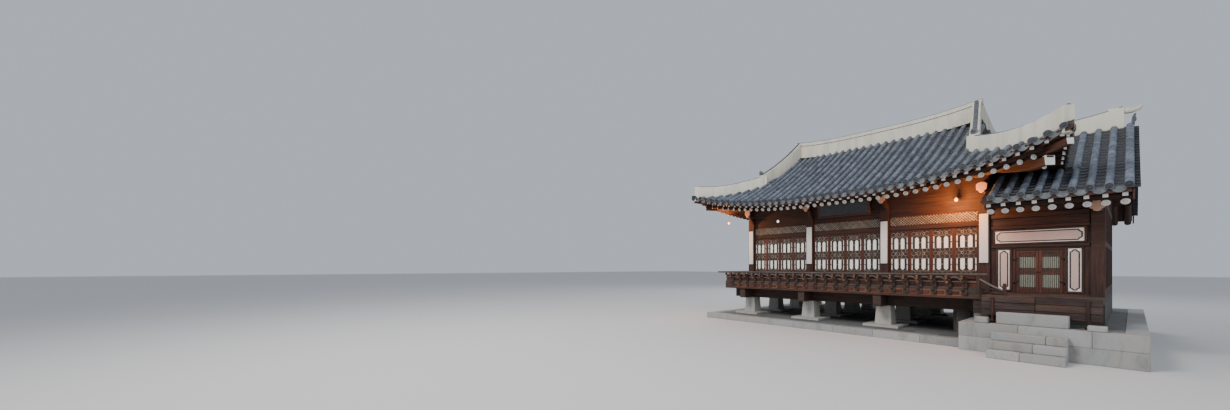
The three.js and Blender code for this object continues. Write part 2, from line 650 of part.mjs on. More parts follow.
// Rows of the wing's roof, on both sides of its ridge
function wingRows() {
  const count = 12;
  const last = WING_VERGE - 100 + WING_ROW_PITCH / 2;
  const rows = tileRows(last - count * WING_ROW_PITCH, WING_ROW_PITCH, count, 12, (x, v) => {
    const y = lerp(ROW_GAP - WING_EAVE_OUT, DEPTH + WING_EAVE_OUT - ROW_GAP, v);
    return [x, y, wingTop(y), rowDepth(wingInward(y))];
  });
  const top = (DEPTH - WING_RIDGE_WIDTH) / 2 - ROW_GAP;
  const field = slab(WING_LEFT + ROW_GAP, WING_VERGE - ROW_GAP, -FAR, top, 0, FAR);
  return rows.intersect(field.add(acrossY(field)));
}

function roofs() {
  const belowEnd = mirroredEnd(GAP, () => FAR);
  const besideWing = acrossX(endRows(RIGHT_RISE)).subtract(wingRoof(ROW_CROWN + ROW_GAP, () => FAR));
  const mainRows = join([longRows(), endRows(LEFT_RISE), besideWing]);
  const main = mainRoof(0, roofThick).subtract(belowWing.intersect(rightOfMeet)).add(mainRows);
  add("main_roof", main, TILE, 0.6);

  const nearMain = mainRoof(ROW_CROWN + ROW_GAP, (inward) => roofThick(inward) + ROW_CROWN + 2 * ROW_GAP);
  const pastEave = nearMain.translate([ROW_GAP, 0, 0]);
  const belowEndOnLeft = belowEnd.intersect(leftOfMeet);
  const clearRows = cutAll(wingRows(), [nearMain, pastEave, belowEndOnLeft]);
  const wing = wingRoof(0, wingThick).subtract(belowEndOnLeft);
  add("wing_roof", wing.add(clearRows), TILE, 0.6);

  const end = gableEdge(RISE_REACH);
  const half = RIDGE_WIDTH / 2;
  const ridge = shaped(8, 1, (u, v, w) => {
    const x = lerp(end, LENGTH - end, u);
    const lift = 220 * Math.abs(2 * u - 1) ** 3;
    return [x, DEPTH / 2 + (v * 2 - 1) * half, w < 0.5 ? 7400 : RIDGE_TOP + lift];
  });
  add("main_ridge", ridge.subtract(belowMain), PLASTER, 0.9);

  const left = hipRidge(LEFT_RISE);
  const right = acrossX(hipRidge(RIGHT_RISE));
  const corners = {
    front_left: left,
    front_right: right,
    back_left: acrossY(left),
    back_right: acrossY(right),
  };
  for (const [name, body] of Object.entries(corners)) {
    add(`hip_ridge_${name}`, body.subtract(belowMain), PLASTER, 0.9);
  }

  const aboveLong = longSlopes(FAR, (inward) => FAR + roofThick(inward) + GAP);
  const plate = slab(GABLE_PLANE, GABLE_PLANE + 80, 700, DEPTH - 700, 5500, 8000);
  add("gable_left", plate.subtract(aboveLong).subtract(endSlope(GAP, () => FAR)), TIMBER);
  add("gable_right", acrossX(plate).subtract(aboveLong).subtract(belowEnd), TIMBER);

  const wingRidge = shaped(6, 1, (u, v, w) => {
    const x = lerp(WING_LEFT, WING_VERGE, u);
    const y = DEPTH / 2 + (v - 0.5) * WING_RIDGE_WIDTH;
    return [x, y, w < 0.5 ? 6300 : WING_RIDGE_TOP + 220 * u ** 3];
  });
  add("wing_ridge", wingRidge.subtract(belowWing), PLASTER, 0.9);
}

stonework();
floors();
railings();
pavilionWalls();
roofFrame();
nameBoard();
wingWalls();
wingDoors();
roofs();

export default house;
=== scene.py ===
# %% [markdown]
# # A hanok hall with its wing, dressed over its frame
# The frame is a set of plain solids that already stand in the right places: floors, columns, walls and roofs.
# They could all be redrawn here, but then two models would have to agree. So this lesson loads the solids,
# keeps those whose shape is right, and adds what only the eye needs: tiles, rafters, lattices and finishes.

# %% The frame
import math
import random

import bmesh
import bpy
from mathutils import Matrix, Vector


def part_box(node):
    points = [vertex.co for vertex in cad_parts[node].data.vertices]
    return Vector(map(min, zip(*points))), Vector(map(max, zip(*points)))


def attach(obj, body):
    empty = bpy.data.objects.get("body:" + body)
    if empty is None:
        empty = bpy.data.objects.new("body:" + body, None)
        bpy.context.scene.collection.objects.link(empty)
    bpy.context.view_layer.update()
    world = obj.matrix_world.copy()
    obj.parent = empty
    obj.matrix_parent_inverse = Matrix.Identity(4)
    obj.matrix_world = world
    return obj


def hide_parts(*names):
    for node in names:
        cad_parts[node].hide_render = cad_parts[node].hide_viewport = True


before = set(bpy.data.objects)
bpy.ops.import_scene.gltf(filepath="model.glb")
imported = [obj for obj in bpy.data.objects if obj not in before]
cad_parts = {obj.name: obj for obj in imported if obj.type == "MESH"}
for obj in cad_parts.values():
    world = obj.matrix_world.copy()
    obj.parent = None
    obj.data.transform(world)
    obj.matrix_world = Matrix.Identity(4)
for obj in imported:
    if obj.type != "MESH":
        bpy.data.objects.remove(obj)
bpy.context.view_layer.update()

# %% [markdown]
# ## Where the eye stands
# The camera comes first, because every later choice of detail depends on how large a thing looks. It stands
# before the house at head height and looks level, so uprights stay upright. A small upward shift of the lens,
# not a tilt, brings the roof into the frame, as a view camera does.

# %% Camera
EYE = Vector((10.94, -16.88, 2.35))
LOOK = Vector((-0.782, 0.623, 0.0))
FOCAL_IN_PIXELS = 412
PHOTO_WIDTH = 1230
HORIZON_SHIFT = 0.0504

scene = bpy.context.scene
camera = bpy.data.cameras.new("courtyard_camera")
camera.sensor_width = 36
camera.lens = camera.sensor_width * FOCAL_IN_PIXELS / PHOTO_WIDTH
camera.shift_y = HORIZON_SHIFT
camera.clip_end = 500
camera_stand = bpy.data.objects.new("courtyard_camera", camera)
camera_stand.location = EYE
camera_stand.rotation_mode = "QUATERNION"
camera_stand.rotation_quaternion = LOOK.to_track_quat("-Z", "Y")
scene.collection.objects.link(camera_stand)
scene.camera = camera_stand
print("lens:", round(camera.lens, 2), "mm")

# %% [markdown]
# ## Soft light
# A dull evening sky lights the real house from everywhere. A pale world does the same, and two large lamps
# give the forms a lit side. Large lamps are chosen over a sun because their shadows have soft edges.

# %% World and lamps
world = bpy.data.worlds.new("pale_sky")
world.use_nodes = True
sky = world.node_tree.nodes["Background"]
sky.inputs["Color"].default_value = (0.8, 0.87, 1.0, 1)
sky.inputs["Strength"].default_value = 0.62
scene.world = world

MIDDLE = Vector((4.7, 2.5, 3.0))


def softbox(name, place, size, power, colour):
    """A large square lamp that looks at the middle of the house."""
    lamp = bpy.data.lights.new(name, "AREA")
    lamp.size = size
    lamp.energy = power
    lamp.color = colour
    stand = bpy.data.objects.new(name, lamp)
    stand.location = place
    stand.rotation_mode = "QUATERNION"
    stand.rotation_quaternion = (MIDDLE - Vector(place)).to_track_quat("-Z", "Y")
    scene.collection.objects.link(stand)


softbox("key_light", (0.0, -20.0, 19.0), 9, 4600, (1.0, 0.97, 0.94))
softbox("fill_light", (24.0, -12.0, 10.0), 12, 1250, (0.9, 0.95, 1.0))
softbox("back_light", (-6.0, 26.0, 18.0), 14, 2600, (0.94, 0.97, 1.0))

# %% [markdown]
# ## Making solids from rings
# Nearly every part of such a house is a long thing with a steady section: a beam, a rafter, a row of tiles.
# So one method, sweep, skins a list of rings and closes its ends, and the other methods only lay out rings.
# With each point goes its place along and across its own timber, so that the grain later runs the right way,
# and a tone that differs from timber to timber.

# %% Sweeping rings
DICE = random.Random(7)
UP = Vector((0, 0, 1))
GRAIN_SPREAD = 40


def unit(vector):
    return Vector(vector).normalized()


def sides_of(ahead):
    """Two directions square to a timber's own: a level one, and the one above it."""
    side = unit(ahead.cross(UP)) if abs(ahead.z) < 0.95 else Vector((1, 0, 0))
    return side, side.cross(ahead)


class Stock:
    """Gathers the timbers, tiles or stones of one piece."""

    def __init__(self):
        self.points = []
        self.faces = []
        self.finishes = []
        self.grain = []
        self.tones = []

    def sweep(self, rings, finish=0, tones=None, grain_shift=None):
        """Skins rings of points one after the other and closes both ends."""
        start = len(self.points)
        size = len(rings[0])
        first = sum((Vector(p) for p in rings[0]), Vector()) / size
        last = sum((Vector(p) for p in rings[-1]), Vector()) / size
        along = unit(last - first) if (last - first).length > 1e-6 else UP
        side, up = sides_of(along)
        shift = DICE.uniform(0, GRAIN_SPREAD) if grain_shift is None else grain_shift
        whole = DICE.random()
        for index, ring in enumerate(rings):
            tone = tones[index] if tones else whole
            for point in ring:
                offset = Vector(point) - first
                self.points.append(tuple(point))
                self.grain.extend((offset.dot(along) + shift, offset.dot(side), offset.dot(up)))
                self.tones.append(tone)
        for r in range(len(rings) - 1):
            low = start + r * size
            for i in range(size):
                j = (i + 1) % size
                self.faces.append((low + i, low + j, low + size + j, low + size + i))
        self.faces.append(tuple(range(start, start + size)))
        top = start + (len(rings) - 1) * size
        self.faces.append(tuple(range(top, top + size)))
        self.finishes.extend([finish] * (len(self.faces) - len(self.finishes)))


print("sweeping ready")

# %% [markdown]
# ## Squared pieces
# Timbers and stones are squared, with their edges taken off. A bevel modifier could do that, but a section of
# eight corners is soon written out. A lattice bar is eased in front only.

# %% Squared pieces
def block(self, low, high, along=0, ease=0.006, finish=0):
    """A squared timber or stone with eased edges, lying along one axis."""
    across = [i for i in range(3) if i != along]
    rings = []
    for end, inset in ((0, ease), (ease, 0), (-ease, 0), (0, ease)):
        place = (low[along] if len(rings) < 2 else high[along]) + end
        a0, a1 = low[across[0]] + inset, high[across[0]] - inset
        b0, b1 = low[across[1]] + inset, high[across[1]] - inset
        outline = [
            (a0 + ease, b0), (a1 - ease, b0), (a1, b0 + ease), (a1, b1 - ease),
            (a1 - ease, b1), (a0 + ease, b1), (a0, b1 - ease), (a0, b0 + ease),
        ]
        ring = []
        for a, b in outline:
            point = [0, 0, 0]
            point[along], point[across[0]], point[across[1]] = place, a, b
            ring.append(point)
        rings.append(ring)
    self.sweep(rings, finish)


def bar(self, start, end, width, depth, face, finish=0):
    """A thin lattice bar from one point to another, with its front edges eased."""
    start, end, face = Vector(start), Vector(end), Vector(face)
    side = unit((end - start).cross(face))
    ease = min(width, depth) * 0.25
    half = width / 2
    outline = [(-half, 0), (half, 0), (half, depth - ease), (half - ease, depth), (ease - half, depth)]
    outline.append((-half, depth - ease))
    self.sweep([[p + side * a + face * b for a, b in outline] for p in (start, end)], finish)


Stock.block, Stock.bar = block, bar
print("squared pieces ready")

# %% [markdown]
# ## Round and sawn pieces
# Rafters, rails and lamps are round: rings along a path. Brackets and plates are sawn from a board: an
# outline and a thickness. Both end in the same sweep, so one mistake is mended in one place.

# %% Round and sawn pieces
def tube(self, path, radii, sides=12, finish=0, grain_shift=None):
    """A round thing along a path, with a radius at each point."""
    path = [Vector(p) for p in path]
    rings = []
    for i, point in enumerate(path):
        ahead = unit(path[min(i + 1, len(path) - 1)] - path[max(i - 1, 0)])
        side, up = sides_of(ahead)
        turns = [math.tau * k / sides for k in range(sides)]
        rings.append([point + (side * math.cos(t) + up * math.sin(t)) * radii[i] for t in turns])
    self.sweep(rings, finish, grain_shift=grain_shift)


def cut(self, outline, origin, right, up, depth, ease=0.004, finish=0):
    """A board sawn to an outline, with its thickness laid off behind its face."""
    origin, right, up = Vector(origin), unit(right), unit(up)
    back = right.cross(up) * -1
    centre = Vector((sum(a for a, b in outline), sum(b for a, b in outline))) / len(outline)
    rings = []
    for push, inset in ((0, ease), (ease, 0), (depth, 0)):
        ring = []
        for a, b in outline:
            away = Vector((a, b)) - centre
            shrink = 1 - inset / max(away.length, 0.02)
            a2, b2 = centre + away * shrink
            ring.append(origin + right * a2 + up * b2 + back * push)
        rings.append(ring)
    self.sweep(rings, finish)


Stock.tube, Stock.cut = tube, cut
print("round and sawn pieces ready")

# %% [markdown]
# ## From a stock to a piece
# A stock is only lists. One mesh is made of them at the end, which is far quicker than face by face. The
# piece then gets its finishes and a body of the frame to ride on, and stands in for solids where it should.

# %% Making a piece
SHARP_ANGLE = math.radians(38)


def make(name, stock, finishes, body="house", instead_of=()):
    """Turns a stock into a piece, with its finishes, and hangs it on a body of the frame."""
    mesh = bpy.data.meshes.new(name)
    mesh.from_pydata(stock.points, [], stock.faces)
    mesh.polygons.foreach_set("material_index", stock.finishes)
    grain = mesh.attributes.new("grain", "FLOAT_VECTOR", "POINT")
    grain.data.foreach_set("vector", stock.grain)
    tone = mesh.attributes.new("tone", "FLOAT", "POINT")
    tone.data.foreach_set("value", stock.tones)
    for finish in finishes:
        mesh.materials.append(finish)
    work = bmesh.new()
    work.from_mesh(mesh)
    bmesh.ops.recalc_face_normals(work, faces=work.faces)
    work.to_mesh(mesh)
    work.free()
    mesh.shade_smooth()
    mesh.set_sharp_from_angle(angle=SHARP_ANGLE)
    piece = bpy.data.objects.new(name, mesh)
    scene.collection.objects.link(piece)
    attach(piece, body)
    if instead_of:
        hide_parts(*instead_of)
    triangles = sum(len(f) - 2 for f in stock.faces)
    print(f"{name}: {triangles} triangles")


print("pieces ready")


# %% [markdown]
# ## Writing finishes as sums
# A material is a recipe: so much dark grain over so much light, dulled where dust lies. Node trees hide that,
# so a socket is wrapped in a small class whose operators add the Math, Vector Math or Mix nodes. Every other
# node comes from one method, which sets the node's own settings first and then its sockets.

# %% Sockets in sums
class Strand:
    """A shader socket that can be used in sums."""

    def __init__(self, coat, socket):
        self.coat = coat
        self.socket = socket

    def join(self, operation, other, swapped=False):
        pair = (other, self) if swapped else (self, other)
        kinds = [p.socket.type for p in pair if isinstance(p, Strand)]
        if "RGBA" in kinds:
            settings = {"data_type": "RGBA", "blend_type": operation, "clamp_factor": True}
            return self.coat.node("ShaderNodeMix", settings, {0: 1.0, 6: pair[0], 7: pair[1]}, 2)
        if "VECTOR" in kinds:
            pair = [p if isinstance(p, (Strand, tuple)) else (p, p, p) for p in pair]
            return self.coat.node("ShaderNodeVectorMath", {"operation": operation}, {0: pair[0], 1: pair[1]})
        return self.coat.node("ShaderNodeMath", {"operation": operation}, {0: pair[0], 1: pair[1]})

    def __add__(self, other):
        return self.join("ADD", other)

    def __sub__(self, other):
        return self.join("SUBTRACT", other)

    def __rsub__(self, other):
        return self.join("SUBTRACT", other, True)

    def __mul__(self, other):
        return self.join("MULTIPLY", other)

    __radd__ = __add__
    __rmul__ = __mul__


print("sums ready")


# %% The nodes of one material
class Recipe:
    """One material and its nodes."""

    def __init__(self, name):
        self.material = bpy.data.materials.new(name)
        self.material.use_nodes = True
        self.tree = self.material.node_tree
        self.shader = self.tree.nodes["Principled BSDF"]

    def node(self, kind, settings=None, values=None, out=0):
        """Adds any node: its settings first, then the values or links of its sockets."""
        made = self.tree.nodes.new(kind)
        for key, value in (settings or {}).items():
            if key == "stops":
                ramp = made.color_ramp.elements
                while len(ramp) < len(value):
                    ramp.new(0.5)
                for element, (place, colour) in zip(ramp, value):
                    element.position = place
                    element.color = (*colour, 1) if isinstance(colour, tuple) else (colour, colour, colour, 1)
            else:
                setattr(made, key, value)
        for key, value in (values or {}).items():
            self.feed(made.inputs[key], value)
        return Strand(self, made.outputs[out])

    def feed(self, socket, value):
        if isinstance(value, Strand):
            self.tree.links.new(value.socket, socket)
        elif isinstance(value, tuple) and socket.type == "RGBA":
            socket.default_value = (*value, 1)
        else:
            socket.default_value = value

    def set(self, **values):
        """Sets or links the shader's own sockets, named with _ for a space."""
        for key, value in values.items():
            self.feed(self.shader.inputs[key.replace("_", " ")], value)
        return self.material


print("nodes ready")

# %% [markdown]
# ## Ingredients of a finish
# Every finish mixes the same few things: noise, a ramp that keeps part of it, a blend of two colours, a bump.
# Short names for them let a finish read like a list of ingredients.

# %% Ingredients
class Coat(Recipe):
    """One finish being mixed."""

    def attribute(self, name, out):
        return self.node("ShaderNodeAttribute", {"attribute_name": name}, out=out)

    def grain(self):
        return self.attribute("grain", 1)

    def tone(self):
        return self.attribute("tone", 2)

    def place(self):
        return self.node("ShaderNodeTexCoord", out=3)

    def noise(self, where, scale, detail=4, rough=0.55, warp=0.0):
        values = {"Vector": where, "Scale": scale, "Detail": detail, "Roughness": rough, "Distortion": warp}
        return self.node("ShaderNodeTexNoise", None, values)

    def ramp(self, factor, stops):
        colours = any(isinstance(c, tuple) for p, c in stops)
        made = self.node("ShaderNodeValToRGB", {"stops": stops}, {0: factor})
        return made if colours else self.node("ShaderNodeSeparateColor", None, {0: made})

    def blend(self, factor, low, high):
        settings = {"data_type": "RGBA", "clamp_factor": True}
        return self.node("ShaderNodeMix", settings, {0: factor, 6: low, 7: high}, 2)

    def parts(self, vector, axis):
        return self.node("ShaderNodeSeparateXYZ", None, {0: vector}, axis)

    def bump(self, height, strength, distance):
        values = {"Strength": strength, "Distance": distance, "Height": height}
        return self.node("ShaderNodeBump", None, values)


print("ingredients ready")

# %% [markdown]
# ## Timber
# Pine darkens to a red brown, keeps light streaks along its grain and turns grey where rain reaches it. The
# streaks are noise squeezed across the grain. On our own pieces the grain is known point by point; on a solid
# of the frame it can only run along one axis, so each such finish is made for an axis.

# %% Timber
GRAIN_STRETCH = (1.4, 26.0, 26.0)
FIBRE_STRETCH = (7.0, 150.0, 150.0)


def turned(vector, axis):
    """The same stretch, for timber that lies along another axis."""
    along, side, up = vector
    return {0: (along, side, up), 1: (side, along, up), 2: (side, up, along)}[axis]


def timber(name, dark, light, dust, dusty=0.35, axis=None):
    coat = Coat(name)
    where = coat.grain() if axis is None else coat.place()
    streaks = coat.noise(where * turned(GRAIN_STRETCH, axis or 0), 1.0, 5, 0.6, 0.3)
    fibres = coat.noise(where * turned(FIBRE_STRETCH, axis or 0), 1.0, 2)
    clouds = coat.noise(coat.place(), 1.7, 4)
    middle = tuple((a + b) / 2 for a, b in zip(dark, light))
    colour = coat.ramp(streaks, [(0.3, dark), (0.52, middle), (0.74, light)])
    worn = coat.ramp(clouds * 0.6 + fibres * 0.4, [(0.46, 0.0), (0.7, dusty)])
    colour = coat.blend(worn, colour, dust)
    if axis is None:
        colour = colour * (coat.tone() * 0.7 + 0.65)
    shade = coat.ramp(streaks * 0.5 + fibres * 0.5, [(0.25, 0.55), (0.6, 1.0)])
    height = streaks * 0.6 + fibres * 0.4
    return coat.set(
        Base_Color=colour * shade,
        Roughness=0.66 + clouds * 0.22,
        Normal=coat.bump(height, 0.5, 0.008),
    )


print("timber ready")

# %% [markdown]
# ## The timbers of this house
# One recipe serves them all, with two tints for the streaks and one for the dust. Columns and beams are red
# brown, rails and carvings are bleached, and undersides are dark. The pale grey of the rails, ledges and
# arches is partly bleaching and partly painted highlight for the light along their tops.

# %% Timbers of this house
RED_DARK, RED_LIGHT, DUST = (0.0125, 0.0044, 0.0026), (0.072, 0.024, 0.0125), (0.074, 0.04, 0.026)
LEAF_DARK, LEAF_LIGHT, LEAF_DUST = (0.036, 0.0082, 0.004), (0.13, 0.034, 0.0155), (0.1, 0.05, 0.032)
red_timber = timber("red_timber", RED_DARK, RED_LIGHT, DUST)
red_timber_x = timber("red_timber_x", RED_DARK, RED_LIGHT, DUST, axis=0)
red_timber_y = timber("red_timber_y", RED_DARK, RED_LIGHT, DUST, axis=1)
red_timber_z = timber("red_timber_z", RED_DARK, RED_LIGHT, DUST, axis=2)
floor_timber = timber(
    "floor_timber", (0.024, 0.013, 0.009), (0.092, 0.052, 0.035), (0.13, 0.1, 0.085), 0.4, 0,
)
worn_board = timber("worn_board", (0.01, 0.005, 0.0036), (0.092, 0.043, 0.027), (0.09, 0.094, 0.11), 0.42)
skirt_timber = timber(
    "skirt_timber", (0.042, 0.0135, 0.007), (0.255, 0.092, 0.043), (0.185, 0.098, 0.062), 0.4,
)
# Rails, ledges and arches are bleached grey, and this pale grey is also painted highlight for the light along
# their tops.
grey_rail = timber("grey_rail", (0.06, 0.048, 0.041), (0.17, 0.145, 0.128), (0.22, 0.205, 0.19), 0.5)
lattice_timber = timber(
    "lattice_timber", (0.014, 0.0075, 0.0055), (0.06, 0.032, 0.022), (0.1, 0.078, 0.06), 0.3,
)
tan_lattice = timber("tan_lattice", (0.17, 0.142, 0.105), (0.39, 0.34, 0.26), (0.42, 0.4, 0.34), 0.5)
band_lattice = timber("band_lattice", (0.115, 0.09, 0.07), (0.3, 0.25, 0.2), (0.32, 0.29, 0.25), 0.45)
leaf_timber_z = timber("leaf_timber_z", LEAF_DARK, LEAF_LIGHT, LEAF_DUST, 0.2, 2)
leaf_timber = timber("leaf_timber", LEAF_DARK, LEAF_LIGHT, LEAF_DUST, 0.22)
under_timber = timber(
    "under_timber", (0.018, 0.01, 0.007), (0.07, 0.035, 0.024), (0.1, 0.08, 0.065), 0.4, 0,
)
print("timber finishes:", len(bpy.data.materials))

# %% [markdown]
# ## Granite
# Dressed granite is pale with black and white grains of a few millimetres, clouds of warmer and cooler stone,
# and dirt where water stands. The grains are fine noise pushed through a steep ramp; each block has its own
# tone.

# %% Granite
def tinted(colour, share):
    """A colour made lighter or darker, never past white."""
    return tuple(min(1, c * share) for c in colour)


def granite(name, base, blocks=True):
    coat = Coat(name)
    where = coat.place()
    grains = coat.noise(where, 95.0, 3, 0.7)
    clouds = coat.noise(where, 1.6, 5, 0.6)
    stains = coat.noise(where * (1.0, 1.0, 0.35), 3.1, 6, 0.65, 0.6)
    dark, light = tinted(base, 0.45), tinted(base, 1.28)
    colour = coat.ramp(grains, [(0.34, dark), (0.46, base), (0.58, base), (0.7, light)])
    warm = tuple(c * k for c, k in zip(base, (1.1, 0.98, 0.84)))
    colour = coat.blend(coat.ramp(clouds, [(0.4, 0.0), (0.65, 0.55)]), colour, warm)
    dirt = tuple(c * k for c, k in zip(base, (0.42, 0.4, 0.34)))
    colour = coat.blend(coat.ramp(stains, [(0.52, 0.0), (0.74, 0.6)]), colour, dirt)
    if blocks:
        colour = colour * (coat.tone() * 0.3 + 0.84)
    pits = grains * 0.5 + coat.noise(where, 22.0, 4) * 0.5
    return coat.set(Base_Color=colour, Roughness=0.72 + clouds * 0.2, Normal=coat.bump(pits, 0.45, 0.006))


pale_granite = granite("pale_granite", (0.345, 0.35, 0.345))
pier_granite = granite("pier_granite", (0.43, 0.42, 0.39), False)
# The paving lies mostly under the raised floors, so its granite is far darker than the facing: painted shade.
shaded_paving_granite = granite("shaded_paving_granite", (0.15, 0.152, 0.15))
footing_stone = granite("footing_stone", (0.075, 0.07, 0.064), False)
print("stone finishes ready")

# %% [markdown]
# ## Roof tile
# Fired clay tiles are smoked blue grey. No two are quite alike, so each tile's own tone counts for much here,
# and rain leaves pale bloom on their backs. The hollow pans lie in shade and are kept darker than the covers.

# %% Tile
def roof_tile(name, dark, light, bloom, spread=0.75):
    coat = Coat(name)
    where = coat.place()
    fired = coat.noise(where, 5.0, 4)
    flecks = coat.noise(where, 60.0, 3, 0.7)
    colour = coat.blend(coat.ramp(fired, [(0.3, 0.0), (0.7, 1.0)]), dark, light)
    colour = colour * (coat.tone() * spread + 1.0 - spread / 2)
    weather = coat.ramp(flecks * 0.45 + coat.noise(where, 11.0, 4) * 0.55, [(0.5, 0.0), (0.64, 0.55)])
    colour = coat.blend(weather, colour, bloom)
    height = flecks * 0.5 + fired * 0.5
    return coat.set(
        Base_Color=colour,
        Roughness=0.38 + coat.noise(where, 14.0, 3) * 0.28,
        Normal=coat.bump(height, 0.4, 0.005),
    )


blue_tile = roof_tile("blue_tile", (0.05, 0.06, 0.08), (0.145, 0.17, 0.212), (0.28, 0.31, 0.36))
pan_tile = roof_tile("pan_tile", (0.008, 0.009, 0.012), (0.026, 0.029, 0.036), (0.06, 0.064, 0.072))
end_tile = roof_tile("end_tile", (0.04, 0.046, 0.051), (0.115, 0.124, 0.131), (0.22, 0.23, 0.235), 0.4)
print("tile finishes ready")

# %% [markdown]
# ## Lime plaster and paint
# Walls and ridges are plastered with lime, and the paint on sawn ends is lime with some colour in it. Dirt
# has run down both, so its noise is stretched upright. Fine specks and the trowel's marks roughen them.

# %% Lime
def lime(name, base, dirt, dirty):
    coat = Coat(name)
    where = coat.place()
    runs = coat.noise(where * (3.2, 3.2, 0.5), 1.0, 6, 0.65)
    specks = coat.noise(where, 45.0, 3)
    colour = coat.blend(coat.ramp(runs, [(0.44, 0.0), (0.78, dirty)]), base, dirt)
    colour = colour * (specks * 0.22 + 0.88)
    trowel = coat.noise(where, 6.0, 4) * 0.6 + specks * 0.4
    return coat.set(Base_Color=colour, Roughness=0.82 + specks * 0.12, Normal=coat.bump(trowel, 0.35, 0.006))


ridge_plaster = lime("ridge_plaster", (0.66, 0.62, 0.51), (0.3, 0.28, 0.23), 0.55)
wall_plaster = lime("wall_plaster", (0.76, 0.7, 0.65), (0.52, 0.45, 0.4), 0.35)
field_plaster = lime("field_plaster", (0.53, 0.4, 0.35), (0.38, 0.28, 0.245), 0.35)
board_white = lime("board_white", (0.68, 0.67, 0.64), (0.44, 0.42, 0.4), 0.45)
rafter_white = lime("rafter_white", (0.7, 0.69, 0.65), (0.38, 0.35, 0.31), 0.4)
peach_paint = lime("peach_paint", (0.66, 0.4, 0.28), (0.4, 0.21, 0.13), 0.5)
# A darker copy of the peach paint, for the railing's lotuses and knobs: painted shade, as most of them stand
# out of the light.
shaded_peach_paint = lime("shaded_peach_paint", (0.2, 0.094, 0.05), (0.05, 0.027, 0.018), 0.95)
print("lime finishes ready")

# %% [markdown]
# ## Paper
# Tough paper covers the doors and glows a little, for the rooms behind it are lit. Light from inside would
# need a lamp in every room, so the sheet gives off a faint light of its own colour instead.

# %% Paper
def paper(name, tint, glow):
    coat = Coat(name)
    where = coat.place()
    fibres = coat.noise(where, 38.0, 5, 0.7)
    sheets = coat.noise(where, 1.3, 3)
    mixed = coat.ramp(fibres * 0.5 + sheets * 0.5, [(0.35, 0.0), (0.65, 1.0)])
    colour = coat.blend(mixed, tint, tinted(tint, 1.14))
    return coat.set(
        Base_Color=colour,
        Roughness=0.9 + fibres * 0.08,
        Emission_Color=colour,
        Emission_Strength=glow,
        Normal=coat.bump(fibres, 0.2, 0.002),
    )


door_paper = paper("door_paper", (0.76, 0.75, 0.68), 0.16)
slat_paper = paper("slat_paper", (0.29, 0.3, 0.24), 0.03)
print("papers ready")

# %% [markdown]
# ## Lacquer, ink and iron
# The name board is black lacquer, the lines on the plaster are ink, and rings and hinges are old iron. All
# three are dark and smooth with worn places, so one recipe serves, and only the iron is set as a metal.

# %% Lacquer, ink and iron
def lacquer(name, base, light, rough, metal=0.0):
    coat = Coat(name)
    where = coat.place()
    wear = coat.noise(where, 9.0, 5)
    fine = coat.noise(where, 120.0, 2)
    return coat.set(
        Base_Color=coat.blend(coat.ramp(wear * 0.7 + fine * 0.3, [(0.45, 0.0), (0.72, 1.0)]), base, light),
        Roughness=rough + wear * 0.2,
        Metallic=metal,
        Normal=coat.bump(fine, 0.15, 0.001),
    )


black_lacquer = lacquer("black_lacquer", (0.01, 0.012, 0.018), (0.035, 0.04, 0.055), 0.35)
ink_line = lacquer("ink_line", (0.012, 0.011, 0.013), (0.05, 0.045, 0.045), 0.55)
old_iron = lacquer("old_iron", (0.02, 0.018, 0.017), (0.09, 0.06, 0.04), 0.45, 0.7)
print("dark finishes ready")

# %% [markdown]
# ## Lamp glass
# A lit bulb hides its own glass in light. Clear glass round a hot wire would need many samples, so this is a
# dark glass that gives off the bulb's colour.

# %% Lamp glass
def glass(name, colour, strength):
    coat = Coat(name)
    frost = coat.noise(coat.place(), 30.0, 3)
    cloud = coat.ramp(frost, [(0.3, 0.0), (0.7, 1.0)])
    glow = coat.blend(cloud, colour, tinted(colour, 1.15))
    shade = coat.blend(cloud, tinted(colour, 0.02), tinted(colour, 0.03))
    rough = 0.25 + frost * 0.1
    return coat.set(Base_Color=shade, Roughness=rough, Emission_Color=glow, Emission_Strength=strength)


warm_glass = glass("warm_glass", (1.0, 0.3, 0.035), 7.0)
white_glass = glass("white_glass", (0.95, 0.97, 1.0), 1.6)
print("finishes:", len(bpy.data.materials))

# %% [markdown]
# ## The shape of the roofs
# A hanok roof sags between its corners and sweeps up at them. Every tile and rafter has to lie on that
# surface, so it is written once, as height over plan: a slope that steepens inwards, plus a lift that dies
# away from the corner. The right corners rise more than the left ones. These are the numbers that the frame
# was built from, in metres.

# %% Main roof surface
BAY = 2.7
SIDE_BAY = 2.0
LENGTH = 8.1
DEPTH = 6.0
EAVE_OUT = 2.05
EAVE_SAG = 0.45
EAVE_HEIGHT = 4.65
EAVE_SLOPE = 0.5031
EAVE_CURVE = 0.0168
LEFT_RISE = 0.95
RIGHT_RISE = 1.2
RISE_REACH = 5.05
RISE_FADE = 4.65
THIN_EDGE = 0.25
THIN_ROOF = 0.05
RIDGE_LINE = DEPTH / 2
HALF_SPAN = RIDGE_LINE + EAVE_OUT


def corner_rise(x):
    return LEFT_RISE if x < LENGTH / 2 else RIGHT_RISE


def rise(along, x):
    return corner_rise(x) * max(0.0, 1 - along / RISE_REACH) ** 2


def fade(inward):
    return max(0.0, 1 - inward / RISE_FADE) ** 1.5


def climb(inward):
    return EAVE_HEIGHT + EAVE_SLOPE * inward + EAVE_CURVE * inward**2


def from_side(x):
    return min(x + EAVE_OUT, LENGTH + EAVE_OUT - x)


def from_front(y):
    return min(y + EAVE_OUT, DEPTH + EAVE_OUT - y)


def slope_top(inward, along, x):
    return climb(inward) + rise(along, x) * fade(inward)


def roof_thick(inward):
    return THIN_ROOF + 0.28 * min(1.0, max(0.0, inward - THIN_EDGE) / (EAVE_OUT - THIN_EDGE))


